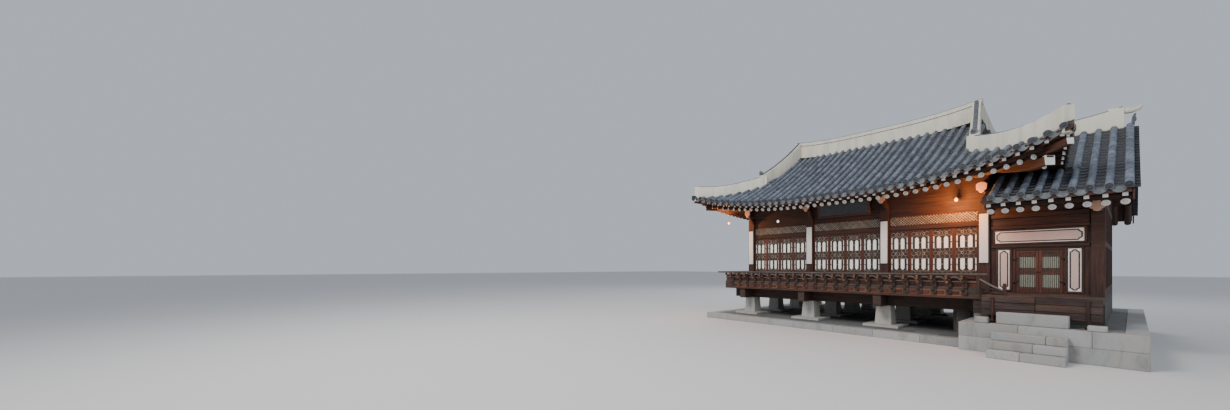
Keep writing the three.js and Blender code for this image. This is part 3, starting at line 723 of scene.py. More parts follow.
def edge_in(along):
    """How far the eave draws back from the straight line between two corners."""
    return EAVE_SAG * (1 - max(0.0, 1 - along / RISE_REACH) ** 2)


def main_bed(x, y):
    dx, dy = from_side(x), from_front(y)
    return slope_top(min(dx, dy), max(dx, dy), x)


print("foot of the main ridge:", round(main_bed(4.0, RIDGE_LINE), 3))

# %% Wing roof surface
WING_EAVE_OUT = 1.45
WING_EAVE_HEIGHT = 4.2
WING_SLOPE = 0.48
WING_CURVE = 0.013
WING_LEFT = 7.48
WING_VERGE = 11.0
MEET = 8.235


def wing_in(y):
    return min(y + WING_EAVE_OUT, DEPTH + WING_EAVE_OUT - y)


def wing_bed(y):
    inward = wing_in(y)
    return WING_EAVE_HEIGHT + WING_SLOPE * inward + WING_CURVE * inward**2


def wing_thick(inward):
    return THIN_ROOF + 0.22 * min(1.0, max(0.0, inward) / WING_EAVE_OUT)


print("foot of the wing's ridge:", round(wing_bed(RIDGE_LINE), 3))

# %% [markdown]
# ## Tiles
# Broad pan tiles lie in columns, each lapped over the next one down, and a row of half-round cover tiles
# hides each gap. Thousands of separate tiles would be slow, so a whole row is one sweep whose rings step at
# every lap. The rows are laid by walking in from the eave. Where a row passes under another roof, it is left
# out.

# %% Where a row shows
SHORTEST_ROW = 0.08


def stretches(start, stop, shown, step=0.03):
    """The parts of a row, from start to stop, where shown(inward) is true."""
    found = []
    here = start
    opened = None
    while here < stop:
        if shown(here) and opened is None:
            opened = here
        if not shown(here) and opened is not None:
            found.append((opened, here))
            opened = None
        here += step
    if opened is not None:
        found.append((opened, stop))
    return [(a, b) for a, b in found if b - a > SHORTEST_ROW]


print("rows shorter than", SHORTEST_ROW, "m are left out")

# %% Cover rows
COVER_RADIUS = 0.078
COVER_LENGTH = 0.31
COVER_SEAT = 0.062


def tile_tones(count):
    return [DICE.betavariate(2.0, 2.0) for _ in range(count)]


def cover_row(stock, spot, station, start, stop):
    """spot(inward, station) gives the bed; a row of half-round tiles runs from start to stop."""
    count = max(1, round((stop - start) / COVER_LENGTH))
    rings, tones = [], []
    for i, tone in enumerate(tile_tones(count)):
        for share, size in ((0, 1.0), (0.1, 1.03), (0.97, 0.93)):
            inward = start + (stop - start) * (i + share) / count
            ring = []
            for k in range(7):
                turn = math.pi * k / 6
                side = COVER_RADIUS * size * math.cos(turn)
                x, y, z = spot(inward, station + side)
                ring.append((x, y, z + COVER_SEAT + COVER_RADIUS * size * 1.12 * math.sin(turn)))
            for side in (-COVER_RADIUS * size, COVER_RADIUS * size):
                x, y, z = spot(inward, station + side)
                ring.append((x, y, z + 0.005))
            rings.append(ring)
            tones.append(tone)
    stock.sweep(rings, 0, tones)


print("cover tiles are", COVER_LENGTH, "m long")

# %% Pan columns
PAN_STEP = 0.21
PAN_HEIGHT = 0.03
PAN_HOLLOW = 0.042


def pan_column(stock, spot, station, start, stop, half):
    count = max(1, round((stop - start) / PAN_STEP))
    rings, tones = [], []
    for i, tone in enumerate(tile_tones(count)):
        for share, lift in ((0, 0.024), (0.98, 0.0)):
            inward = start + (stop - start) * (i + share) / count
            ring = []
            for k in range(5):
                side = half * (k / 2 - 1)
                x, y, z = spot(inward, station + side)
                ring.append((x, y, z + PAN_HEIGHT + PAN_HOLLOW * (k / 2 - 1) ** 2 + lift))
            for side in (half, -half):
                x, y, z = spot(inward, station + side)
                ring.append((x, y, z - 0.005))
            rings.append(ring)
            tones.append(tone)
    stock.sweep(rings, 1, tones)


print("pan tiles lap every", PAN_STEP, "m")

# %% [markdown]
# ## The ends of the rows
# At the eave a round tile with a raised rim closes each cover row, and a crescent hangs from each pan column.
# They follow the same surface, so they turn up with it.

# %% Ends of the rows
PAN_DROP = 0.15


def cover_end(stock, spot, station, start):
    """The round face that stops a row of cover tiles, with a raised rim and boss."""
    x0, y0, z0 = spot(start, station)
    lift = COVER_SEAT + COVER_RADIUS * 0.28
    profiles = (
        (((0.012, 1.0), (-0.014, 1.04), (-0.022, 1.0), (-0.022, 0.9), (-0.008, 0.86), (0.01, 0.86)), 2),
        (((0.008, 0.88), (-0.006, 0.88), (-0.009, 0.3)), 1),
        (((0.0, 0.3), (-0.014, 0.28), (-0.018, 0.12)), 1),
    )
    for profile, finish in profiles:
        rings = []
        for push, size in profile:
            ring = []
            for k in range(12):
                turn = math.tau * k / 12
                x, y, z = spot(start + push, station + COVER_RADIUS * size * math.cos(turn))
                ring.append((x, y, z0 + (z - z0) * 0.3 + lift + COVER_RADIUS * size * math.sin(turn)))
            rings.append(ring)
        stock.sweep(rings, finish)


def pan_end(stock, spot, station, start, half):
    """The crescent that hangs from the lowest pan tile and throws the rain clear."""
    rings = []
    steps = 8
    for k in range(steps + 1):
        share = k / (steps / 2) - 1
        side = half * 1.08 * share
        x, y, z = spot(start, station + side)
        far = spot(start - 0.03, station + side)
        lip = spot(start - 0.012, station + side)
        high = PAN_HEIGHT + PAN_HOLLOW * share**2 + 0.022
        low = high - 0.012 - PAN_DROP * math.sqrt(max(0.0, 1 - share**2))
        middle = (high + low) / 2
        ring = [(x, y, z + high), (lip[0], lip[1], z + high), (lip[0], lip[1], z + middle)]
        ring += [(far[0], far[1], z + low + 0.012), (far[0], far[1], z + low), (x, y, z + low)]
        rings.append(ring)
    stock.sweep(rings, 2)


print("a crescent hangs", PAN_DROP, "m down")

# %% Laying a slope
PAN_BACK = 0.04


def everywhere(inward, station):
    return True


def lay(stock, spot, stations, half, start_at, stop_at, shown=everywhere):
    """Lays cover rows on the stations and pan columns between them."""
    for station in stations:
        first = start_at(station)
        for start, stop in stretches(first, stop_at(station), lambda d: shown(d, station)):
            cover_row(stock, spot, station, start, stop)
            if start == first:
                cover_end(stock, spot, station, start)
    for left, right in zip(stations, stations[1:]):
        station = (left + right) / 2
        first = start_at(station)
        for start, stop in stretches(first, stop_at(station), lambda d: shown(d, station)):
            back = PAN_BACK if start == first else 0.0
            pan_column(stock, spot, station, start + back, stop, half)
            if back:
                pan_end(stock, spot, station, start + back, half * 1.12)


print("tile rows ready")

# %% [markdown]
# ## The main roof
# Four slopes meet at the hips. A row on a long slope stops at the hip line near the corners, then at the
# gable edge, and otherwise at the ridge. Rows on an end slope stop at the hip or under the gable wall. The
# right end is partly buried in the wing's roof, so its rows start at the valley.

# %% The main roof's slopes
PITCH = 0.285
RIDGE_IN = 0.56
VERGE_IN = 0.14
GABLE_START = 2.37
GABLE_RUN = 2.68
GABLE_PLANE = 0.62


def spread(middle, reach, pitch):
    """Row places on both sides of a middle, none of them on it."""
    count = int(reach / pitch + 0.5)
    return [middle + (i - count + 0.5) * pitch for i in range(2 * count)]


def long_stop(x):
    side = from_side(x)
    if side < EAVE_OUT + VERGE_IN:
        return side
    if side < EAVE_OUT + RIDGE_IN:
        return GABLE_START + (side - EAVE_OUT - VERGE_IN) / 0.42 * GABLE_RUN
    return HALF_SPAN - 0.1


def end_stop(y):
    return min(from_front(y), EAVE_OUT + GABLE_PLANE - 0.02)


def long_eave(x):
    return edge_in(from_side(x))


def end_eave(y):
    return edge_in(from_front(y))


def front_spot(inward, x):
    return (x, inward - EAVE_OUT, slope_top(inward, from_side(x), x))


def back_spot(inward, x):
    return (x, DEPTH + EAVE_OUT - inward, slope_top(inward, from_side(x), x))


def left_spot(inward, y):
    return (inward - EAVE_OUT, y, slope_top(inward, from_front(y), 0.0))


def right_spot(inward, y):
    return (LENGTH + EAVE_OUT - inward, y, slope_top(inward, from_front(y), LENGTH))


def clear_of_wing(inward, y):
    x, y, z = right_spot(inward, y)
    return z > wing_bed(y) - 0.02


SLOPES = {
    "front": (front_spot, LENGTH, long_eave, long_stop),
    "back": (back_spot, LENGTH, long_eave, long_stop),
    "left": (left_spot, DEPTH, end_eave, end_stop),
    "right": (right_spot, DEPTH, end_eave, end_stop),
}
print("slopes:", list(SLOPES))

# %% Main roof tiles
EDGE_KEEP = 0.031
SIDE_LAP = 0.022
TILES = (blue_tile, pan_tile, end_tile)


def lowest_tile(eave):
    """Where the rows of a slope begin, a little in from its eave."""
    def start_at(station):
        return eave(station) + EDGE_KEEP
    return start_at


for side, (spot, length, eave, stop_at) in SLOPES.items():
    stock = Stock()
    rows = spread(length / 2, length / 2 + EAVE_OUT - 0.06, PITCH)
    shown = clear_of_wing if side == "right" else everywhere
    lay(stock, spot, rows, PITCH / 2 - SIDE_LAP, lowest_tile(eave), stop_at, shown)
    make(f"{side}_tiles", stock, TILES)

# %% [markdown]
# ## The wing's roof
# The same rows, a little wider apart. On the left they vanish under the big roof's corner and come out again
# behind it. On the right the roof ends at a verge, where a last row of covers and a line of small pans turned
# sideways keep the wind out.

# %% Wing roof tiles
WING_PITCH = 0.305
FREE_OF_HALL = MEET + 0.08


def wing_front(inward, x):
    return (x, inward - WING_EAVE_OUT, wing_bed(inward - WING_EAVE_OUT))


def wing_back(inward, x):
    return (x, DEPTH + WING_EAVE_OUT - inward, wing_bed(inward - WING_EAVE_OUT))


def wing_shown(inward, x):
    y = inward - WING_EAVE_OUT
    if x > LENGTH + EAVE_OUT - 0.12 or y < -EAVE_OUT:
        return True
    high = main_bed(x, y)
    above = wing_bed(y) > high - 0.01
    beneath = x > FREE_OF_HALL and high - roof_thick(min(from_side(x), from_front(y))) > wing_bed(y) + 0.17
    return above or beneath


def wing_start(x):
    """Rows that come out from under the hall's roof begin further in."""
    return EDGE_KEEP if x > FREE_OF_HALL else 0.6


def wing_stop(x):
    return RIDGE_LINE + WING_EAVE_OUT - 0.08


wing_rows = [WING_VERGE - 0.1 - i * WING_PITCH for i in range(12)][::-1]
stock = Stock()
for spot in (wing_front, wing_back):
    lay(stock, spot, wing_rows, WING_PITCH / 2 - SIDE_LAP, wing_start, wing_stop, wing_shown)
make("wing_tiles", stock, TILES)

# %% [markdown]
# ## Boards and clay under the tiles
# The tiles lie on a bed of clay over boards. Under the eaves the boards show between the rafters. The frame's
# solid for each roof has its tile rows folded into its top, so the finished roof takes its place: boards and
# clay here, then real rows of tiles. The bed stops short of the eave, so that the round tile ends hang free
# in front of it.

# %% Bed of the main roof
BED_BACK = 0.085
BED_STEPS = 9
BED_SINK = 0.003
BED_STATIONS = (-1.94, -1.8, -1.6, -1.35, -1.0, -0.6, -0.2, VERGE_IN, 0.35, RIDGE_IN)


def bed_section(spot, station, start, stop, thick):
    """One slice through a roof's bed, up the slope on top and back down underneath."""
    reach = [start + (stop - start) * k / BED_STEPS for k in range(BED_STEPS + 1)]
    top = [spot(inward, station) for inward in reach]
    ring = [(x, y, z - BED_SINK) for x, y, z in top]
    return ring + [(x, y, z - thick(inward)) for (x, y, z), inward in reversed(list(zip(top, reach)))]


stock = Stock()
for spot, length, eave, stop_at in SLOPES.values():
    stations = list(BED_STATIONS)
    stations += [RIDGE_IN + (length - 2 * RIDGE_IN) * k / 10 for k in range(1, 10)]
    stations += [length - s for s in reversed(BED_STATIONS)]
    rings = []
    for station in stations:
        start = eave(station) + BED_BACK
        stop = max(stop_at(station) + (0.1 if stop_at is long_stop else 0.0), start + 0.02)
        rings.append(bed_section(spot, station, start, stop, roof_thick))
    stock.sweep(rings, 0)
make("main_roof_bed", stock, (under_timber,), instead_of=["main_roof"])


# %% Bed of the wing's roof
def wing_valley(x):
    """Where, going up from the front, the wing's bed comes out over the hall's end slope."""
    y = -WING_EAVE_OUT
    while y < RIDGE_LINE and wing_bed(y) < climb(from_side(x)):
        y += 0.02
    return y


def wing_slice(x, first, last):
    steps = 16
    line = [first + (last - first) * k / steps for k in range(steps + 1)]
    ring = [(x, y, wing_bed(y) - BED_SINK) for y in line]
    return ring + [(x, y, wing_bed(y) - wing_thick(wing_in(y))) for y in reversed(line)]


stock = Stock()
front_edge = BED_BACK - WING_EAVE_OUT
free = (MEET + 0.005, 9.6, WING_VERGE - 0.06)
stock.sweep([wing_slice(x, front_edge, DEPTH - front_edge) for x in free], 0)
behind = [WING_LEFT + 0.01 + (MEET - WING_LEFT - 0.01) * k / 5 for k in range(6)]
stock.sweep([wing_slice(x, wing_valley(x) + 0.02, DEPTH - wing_valley(x) - 0.02) for x in behind], 0)
make("wing_roof_bed", stock, (under_timber,), instead_of=["wing_roof"])

# %% [markdown]
# ## Ridges
# A ridge is a wall of stacked tiles under white plaster, with cover tiles on top. The main one carries a thin
# course of dark tile near its top, whose darkness is partly painted shade for the shadow of a groove there.
# Its parts could be stacked one by one, but body, course and caps follow one path, so each is swept along it.

# %% A plastered ridge
CAP_LENGTH = 0.3


def ridge_run(stock, path, across, depth, half, cap, course=0.0):
    """A plastered ridge under caps. path is its top, and across points sideways at each point of it."""
    path = [Vector(p) for p in path]
    across = [unit(a) for a in across]
    down = -UP
    shoulder = cap * 0.8
    body = []
    for point, side in zip(path, across):
        section = ((-half, depth), (half, depth), (half * 0.93, shoulder + 0.02))
        section += ((half * 0.8, shoulder - 0.005), (-half * 0.8, shoulder - 0.005))
        section += ((-half * 0.93, shoulder + 0.02),)
        body.append([point + side * a + down * b for a, b in section])
    stock.sweep(body, 0)
    # The course is a thin proud strip in the dark pan finish: a tile course whose darkness is also painted
    # shade for a groove's shadow.
    if course:
        low, proud = course + 0.016, half * 0.95 + 0.014
        section = ((-proud, low), (proud, low), (proud, course), (-proud, course))
        stock.sweep([[p + s * a + down * b for a, b in section] for p, s in zip(path, across)], 1)
    reach = [0.0]
    for a, b in zip(path, path[1:]):
        reach.append(reach[-1] + (b - a).length)

    def along(distance):
        for i in range(len(path) - 1):
            if distance <= reach[i + 1] + 1e-6:
                share = (distance - reach[i]) / (reach[i + 1] - reach[i])
                return path[i].lerp(path[i + 1], share), across[i].lerp(across[i + 1], share)
        return path[-1], across[-1]

    count = max(2, round(reach[-1] / CAP_LENGTH))
    rings, tones = [], []
    for i, tone in enumerate(tile_tones(count)):
        for share, size in ((0.0, 0.94), (0.96, 1.0)):
            point, side = along(reach[-1] * (i + share) / count)
            ring = []
            for k in range(7):
                turn = math.pi * k / 6
                high = cap * size * (math.sin(turn) - 1)
                ring.append(point + side * (cap * size * 1.25 * math.cos(turn)) + UP * high)
            rings.append(ring)
            tones.append(tone)
    stock.sweep(rings, 2, tones)


print("ridge caps are", CAP_LENGTH, "m long")


# %% Crests and the main ridge
def crest(stock, place, facing, width, height):
    """The upright curved tile that closes a ridge's end, arched at its top."""
    place, facing = Vector(place), unit(facing)
    side = facing.cross(UP)
    rings = []
    for k in range(9):
        share = k / 4 - 1
        bow = 0.05 * (1 - share**2)
        foot = place + side * (width / 2 * share) + facing * bow
        top = height * (0.55 + 0.45 * math.sqrt(max(0.0, 1 - share**2)))
        tip = foot + facing * (0.08 * top)
        back = facing * -0.022
        rings.append([foot, tip + UP * top, tip + back + UP * top, foot + back])
    stock.sweep(rings, 2)
    boss = place + facing * 0.05 + UP * (height * 0.5)
    path = [boss, boss + facing * 0.02, boss + facing * 0.035]
    stock.tube(path, [height * 0.22, height * 0.2, height * 0.08], 10, 2)


RIDGE_TILES = (ridge_plaster, pan_tile, end_tile)
RIDGE_TOP = 8.3
RIDGE_LIFT = 0.22
stock = Stock()
path = []
for i in range(17):
    share = i / 16
    lift = RIDGE_LIFT * abs(2 * share - 1) ** 3
    path.append((RIDGE_IN + (LENGTH - 2 * RIDGE_IN) * share, RIDGE_LINE, RIDGE_TOP + lift - 0.004))
ridge_run(stock, path, [(0, 1, 0)] * len(path), 0.78, 0.165, 0.075, 0.2)
for x, way in ((0.64, -1), (LENGTH - 0.64, 1)):
    crest(stock, (x, RIDGE_LINE, 8.1), (way, 0, 0), 0.3, 0.36)
make("main_ridge_dressed", stock, RIDGE_TILES, instead_of=["main_ridge"])

# %% [markdown]
# ## The corners' ridges
# The gables' ridges end at a knee, where a lower one takes over and runs out along the hip. All four corners
# are laid out as the front left one and then turned.

# %% Gable and hip ridges
HIP_HEIGHT = 0.57
KNEE_HEIGHT = 0.66
GABLE_HEIGHT = 0.95
RIDGE_SINK = 0.02
UPPER_RUN = ((0.7, 2.83), (0.29, 0.2))
LOWER_RUN = ((0.42, 0.42), (-1.88, -1.88))
KNEE = (0.29, 0.22)
RIDGE_PLACES = {
    "front_left": (1, 1), "front_right": (-1, 1), "back_left": (1, -1), "back_right": (-1, -1),
}


def corner_point(x, y, ways):
    """A place worked out for the front left corner, moved to one of the four."""
    return (x if ways[0] > 0 else LENGTH - x, y if ways[1] > 0 else DEPTH - y)


for corner, ways in RIDGE_PLACES.items():
    stock = Stock()
    house_end = corner_point(0, 0, ways)[0]
    for upper, (start, end) in ((True, UPPER_RUN), (False, LOWER_RUN)):
        path, across = [], []
        for i in range(9):
            share = i / 8
            x = start[0] + (end[0] - start[0]) * share
            y = start[1] + (end[1] - start[1]) * share
            inward = from_front(y)
            high = KNEE_HEIGHT + (GABLE_HEIGHT - KNEE_HEIGHT) * (1 - share) ** 2
            if not upper:
                high = HIP_HEIGHT - RIDGE_SINK + 0.05 * share**3
            along = from_side(x) if upper else inward
            z = slope_top(inward, along, house_end) + high - RIDGE_SINK
            path.append((*corner_point(x, y, ways), z))
            across.append((ways[0], 0, 0) if upper else (ways[0], -ways[1], 0))
        ridge_run(stock, path, across, 0.72, 0.135 if upper else 0.128, 0.058)
    high = main_bed(*KNEE) + KNEE_HEIGHT - 0.06
    crest(stock, (*corner_point(*KNEE, ways), high), (0, -ways[1], 0.25), 0.2, 0.17)
    node = f"hip_ridge_{corner}"
    make(f"{node}_dressed", stock, RIDGE_TILES, instead_of=[node])

# %% [markdown]
# ## The wing's ridge
# The lower ridge comes out of the hall's end slope and rises towards the verge, where its plaster ends in a
# curled tail. Plaster is shaped by hand there, so the tail is a tube that bends and grows thinner.

# %% Wing ridge
WING_RIDGE_TOP = 7.0
WING_RIDGE_LIFT = 0.24
WING_RIDGE_END = WING_VERGE - 0.22
stock = Stock()
path = []
for i in range(11):
    share = i / 10
    x = WING_LEFT + 0.01 + (WING_RIDGE_END - WING_LEFT) * share
    path.append((x, RIDGE_LINE, WING_RIDGE_TOP + WING_RIDGE_LIFT * share**3))
ridge_run(stock, path, [(0, 1, 0)] * len(path), 0.72, 0.145, 0.07)
TAIL = (
    (-0.3, 7.12, 0.12), (-0.02, 7.1, 0.11), (0.16, 7.06, 0.075), (0.28, 7.1, 0.07), (0.34, 7.16, 0.045),
)
stock.tube([(WING_RIDGE_END + x, RIDGE_LINE, z) for x, z, r in TAIL], [r for x, z, r in TAIL], 12, 0)
crest(stock, (WING_VERGE - 0.06, RIDGE_LINE, 6.62), (1, 0, 0), 0.34, 0.34)
make("wing_ridge_dressed", stock, RIDGE_TILES, instead_of=["wing_ridge"])

# %% [markdown]
# ## Rafters
# Under the tiles lies the part that makes a hanok's eave: round rafters that run down from the beam, boards
# over them, and on those a second, shorter layer of square flying rafters that lifts the edge. Towards a
# corner both layers fan out from the corner column. Their sawn ends are painted white. Each rafter follows
# the underside of the roof at a few points, so it rises with the corner.

# %% Painted ends
coat = Coat("ringed_white")
across = coat.grain()
offset_side, offset_up = coat.parts(across, 1), coat.parts(across, 2)
radial = (offset_side * offset_side + offset_up * offset_up) * 400.0
ring_mask = coat.ramp(radial, [(0.3, 0.0), (0.36, 0.8), (0.48, 0.8), (0.56, 0.0)])
soot = coat.noise(coat.place(), 12.0, 4)
white = coat.blend(coat.ramp(soot, [(0.42, 0.0), (0.8, 0.6)]), (0.7, 0.69, 0.65), (0.38, 0.34, 0.3))
ringed = coat.blend(ring_mask, white, (0.2, 0.17, 0.15))
ringed_white = coat.set(Base_Color=ringed, Roughness=0.75 + soot * 0.1)
RAFTER_FINISHES = (red_timber, rafter_white, ringed_white)
print("finishes:", len(bpy.data.materials))

# %% Where rafters run
ROUND_RADIUS = 0.075
SQUARE = 0.1
FAN_START = 0.9
FAN_SHARE = 0.36


def fan(station, length):
    """Where the inner end of a rafter stands, for an outer end at that station of an eave."""
    if station < FAN_START:
        return FAN_START - (FAN_START - station) * FAN_SHARE
    if station > length - FAN_START:
        return length - FAN_START + (station - length + FAN_START) * FAN_SHARE
    return station


def under_main(x, y):
    inward = min(from_side(x), from_front(y))
    return main_bed(x, y) - roof_thick(inward)


def round_line(x, y):
    inward = min(from_side(x), from_front(y))
    return under_main(x, y) - ROUND_RADIUS - 0.2 * min(1.0, max(0.0, (EAVE_OUT - inward) / 1.1))


def square_line(x, y):
    return under_main(x, y) - SQUARE / 2 - 0.012


print("a round rafter over the front columns lies at", round(round_line(LENGTH / 2, 0.0), 3))


# %% Sticks and rafters
def stick(stock, path, width, height, finish=0, ease=0.008):
    """A squared timber along a path, kept upright, with its lower edges eased."""
    path = [Vector(p) for p in path]
    side, up = sides_of(unit(path[-1] - path[0]))
    half, tall = width / 2, height / 2
    outline = [(-half, tall), (-half, ease - tall), (ease - half, -tall)]
    outline += [(half - ease, -tall), (half, ease - tall), (half, tall)]
    stock.sweep([[p + side * a + up * b for a, b in outline] for p in path], finish)


def lay_rafter(stock, path, size, square, tall=0.86, sides=12):
    """A rafter along a path, its outer end painted white, with rings on a round one."""
    end, ahead = path[0], unit(path[0] - path[1])
    if square:
        stick(stock, path, size, size)
        stick(stock, [end - ahead * 0.002, end + ahead * 0.008], size * 0.86, size * tall, 1, 0.003)
    else:
        stock.tube(path, [size] * len(path), sides)
        face = [end - ahead * 0.002, end + ahead * 0.006, end + ahead * 0.01]
        stock.tube(face, [size * 0.97, size * 0.97, size * 0.88], 16, 2, 0.0)


def rafter(stock, outer, inner, line, square, size):
    """One rafter between two places in plan, cut off where the wing's roof would bury it."""
    outer, inner = Vector(outer[:2]), Vector(inner[:2])
    path = []
    for i in range(6):
        x, y = outer.lerp(inner, i / 5)
        z = line(x, y)
        if x > LENGTH and z < wing_bed(y) + 0.2 + size:
            break
        path.append(Vector((x, y, z)))
    if len(path) > 1:
        lay_rafter(stock, path, size, square)


print("rafters ready")

# %% [markdown]
# ## Rows of rafters
# Each side of the house has its row of round rafters and its row of square ones. A helper gives their places,
# and leaves out those on the right that the wing's roof covers.

# %% Rafters of the main roof
RAFTER_PITCH = 0.27
ROUND_BACK, SQUARE_BACK = 0.5, 0.15
WING_GAP = 0.3


def eave_stations(side, keep):
    """Rafter places on one eave, without those that the wing's roof buries."""
    length = SLOPES[side][1]
    stations = spread(length / 2, length / 2 + EAVE_OUT - keep, RAFTER_PITCH)
    if side == "right":
        return [s for s in stations if s < -WING_GAP or s > DEPTH + WING_GAP]
    return stations


for side, (spot, length, eave, stop_at) in SLOPES.items():
    stock = Stock()
    for station in eave_stations(side, 0.62):
        outer = spot(eave(station) + ROUND_BACK, station)
        inner = spot(EAVE_OUT - 0.05, fan(station, length))
        rafter(stock, outer, inner, round_line, False, ROUND_RADIUS)
    for station in eave_stations(side, 0.22):
        outer = spot(eave(station) + SQUARE_BACK, station)
        inner = spot(1.55, fan(station, length) * 0.55 + station * 0.45)
        rafter(stock, outer, inner, square_line, True, SQUARE)
    make(f"{side}_rafters", stock, RAFTER_FINISHES)

# %% [markdown]
# ## Eave boards
# Boards lie on the round rafters, a thick batten closes the gap between the two layers, and a fascia holds
# the lowest tiles. All of them follow the eave's curve, so each is one sweep with a ring every 0.35 m.

# %% Eave boards
EAVE_STRIPS = (
    (0.46, 0.54, ROUND_RADIUS, ROUND_RADIUS + 0.115, round_line, 0.5),
    (0.5, 2.0, ROUND_RADIUS - 0.012, ROUND_RADIUS + 0.014, round_line, 0.9),
    (0.062, 0.105, -0.03, 0.075, under_main, 0.08),
    (0.1, 0.16, -0.014, 0.012, under_main, 0.12),
)


def eave_strip(stock, side, near, far, low, high, line, keep):
    """A strip along an eave, between two distances in from its edge and two heights over a line."""
    spot, length, eave, stop_at = SLOPES[side]
    ranges = [(keep - EAVE_OUT, length + EAVE_OUT - keep)]
    if side == "right":
        ranges = [(keep - EAVE_OUT, -WING_GAP), (DEPTH + WING_GAP, DEPTH + EAVE_OUT - keep)]
    for first, last in ranges:
        rings = []
        count = max(4, round((last - first) / 0.35))
        for i in range(count + 1):
            station = first + (last - first) * i / count
            room = min(station + EAVE_OUT, length + EAVE_OUT - station)
            edge = eave(station)
            a = spot(edge + near, station)[:2]
            b = spot(min(edge + far, max(room, edge + near + 0.02)), station)[:2]
            za, zb = line(*a), line(*b)
            rings.append([(*a, za + low), (*b, zb + low), (*b, zb + high), (*a, za + high)])
        stock.sweep(rings, 0)


stock = Stock()
for side in SLOPES:
    for strip in EAVE_STRIPS:
        eave_strip(stock, side, *strip)
make("eave_boards", stock, (red_timber,))

# %% [markdown]
# ## Corner rafters
# At each corner two heavy rafters, one over the other, carry the hip. Their ends are sawn square here and
# closed with a painted plate, which is the plain kind.

# %% Corner rafters
PLATE = ((-0.105, -0.13), (0.105, -0.13), (0.115, 0.12), (-0.115, 0.12))
LOWER = (-1.52, 0.1, 0.16, 0.22, 0.1, round_line, 1.0)
UPPER = (-1.9, -0.35, 0.13, 0.17, 0.045, square_line, 0.62)
stock = Stock()
for ways in RIDGE_PLACES.values():
    for out, inner, width, height, drop, line, size in (LOWER, UPPER):
        path = []
        for i in range(6):
            spot = out + (inner - out) * i / 5
            path.append(Vector((*corner_point(spot, spot, ways), line(spot, spot) - drop + 0.02)))
        stick(stock, path, width, height, 0, 0.02)
        ahead = unit(path[0] - path[1])
        right, up = sides_of(ahead)
        outline = [(a * size, b * size) for a, b in PLATE]
        stock.cut(outline, path[0] + ahead * 0.014, -right, up, 0.022, 0.006, 1)
make("corner_rafters", stock, RAFTER_FINISHES)

# %% [markdown]
# ## The wing's eave
# The wing's eaves are level, so a rafter here is straight. Its sawn ends are larger and lie further apart.
# The same helpers serve; only the line that they follow changes.

# %% Where the wing's rafters run
WING_ROUND = 0.083
WING_SQUARE = 0.105


def under_wing(x, y):
    return wing_bed(y) - wing_thick(wing_in(y))


def wing_round_line(x, y):
    return under_wing(x, y) - WING_ROUND - 0.27 * min(1.0, max(0.0, (WING_EAVE_OUT - wing_in(y)) / 1.0))


def wing_square_line(x, y):
    return under_wing(x, y) - WING_SQUARE / 2 - 0.055


def on_half(y, back):
    """The same place on the wing's front or back half."""
    return DEPTH - y if back else y


def wing_rafter(stock, x, out, inner, line, square, size, back):
    path = []
    for i in range(3):
        y = out + (inner - out) * i / 2
        path.append(Vector((x, on_half(y, back), line(x, y))))
    lay_rafter(stock, path, size, square, 0.8, 14)


print("a round rafter over the wing's front wall lies at", round(wing_round_line(9.0, 0.0), 3))

# %% Wing rafters
WING_STATIONS = [10.84 - i * WING_PITCH for i in range(9)]
WING_STRIPS = (
    (-1.05, -0.97, WING_ROUND, WING_ROUND + 0.12, wing_round_line),
    (-1.0, -0.06, WING_ROUND - 0.012, WING_ROUND + 0.014, wing_round_line),
    (-1.385, -1.34, -0.05, 0.078, under_wing),
    (-1.36, -0.5, -0.056, -0.03, under_wing),
)
stock = Stock()
for back in (False, True):
    for x in WING_STATIONS:
        wing_rafter(stock, x, -1.02, -0.06, wing_round_line, False, WING_ROUND, back)
        wing_rafter(stock, x, -1.31, -0.45, wing_square_line, True, WING_SQUARE, back)
    for near, far, low, high, line in WING_STRIPS:
        rings = []
        for x in (MEET + 0.03, 9.6, WING_VERGE - 0.06):
            za, zb = line(x, near), line(x, far)
            ring = [(near, za + low), (far, zb + low), (far, zb + high), (near, za + high)]
            rings.append([(x, on_half(y, back), z) for y, z in ring])
        stock.sweep(rings, 0)
make("wing_rafters", stock, RAFTER_FINISHES)

# %% [markdown]
# ## Verges and gables
# Where a roof ends sideways, a bargeboard hides the ends of its timbers, and small pans laid sideways drip
# clear of it. The gable walls over the end slopes are boarded.

# %% Verge of the wing and bargeboards
BOARD_THICK = 0.035
BOARD_DEEP = 0.3
VERGE_PAN = 0.2
stock = Stock()
for spot in (wing_front, wing_back):
    stop = RIDGE_LINE + WING_EAVE_OUT - 0.1
    count = round(stop / VERGE_PAN)
    for i in range(count):
        start = EDGE_KEEP + (stop - EDGE_KEEP) * i / count
        end = EDGE_KEEP + (stop - EDGE_KEEP) * (i + 1.12) / count
        rings = []
        for k in range(5):
            share = k / 2 - 1
            middle, half = (start + end) / 2, (end - start) / 2
            a, y, z = spot(middle + half * share, WING_VERGE - 0.06)
            b = a + 0.13
            dip = -0.02 - 0.035 * (1 - share**2) + 0.012 * (1 - share)
            ring = [(a, y, z + dip + 0.02), (b, y, z + dip), (b, y, z + dip + 0.018), (a, y, z + dip + 0.04)]
            rings.append(ring)
        stock.sweep(rings, 1)
    rings = []
    for i in range(10):
        a, y, z = spot(EDGE_KEEP + 0.05 + (stop - EDGE_KEEP - 0.05) * i / 9, WING_VERGE - 0.05)
        b = a + BOARD_THICK
        rings.append([(a, y, z - BOARD_DEEP), (b, y, z - BOARD_DEEP), (b, y, z - 0.035), (a, y, z - 0.035)])
    stock.sweep(rings, 3)
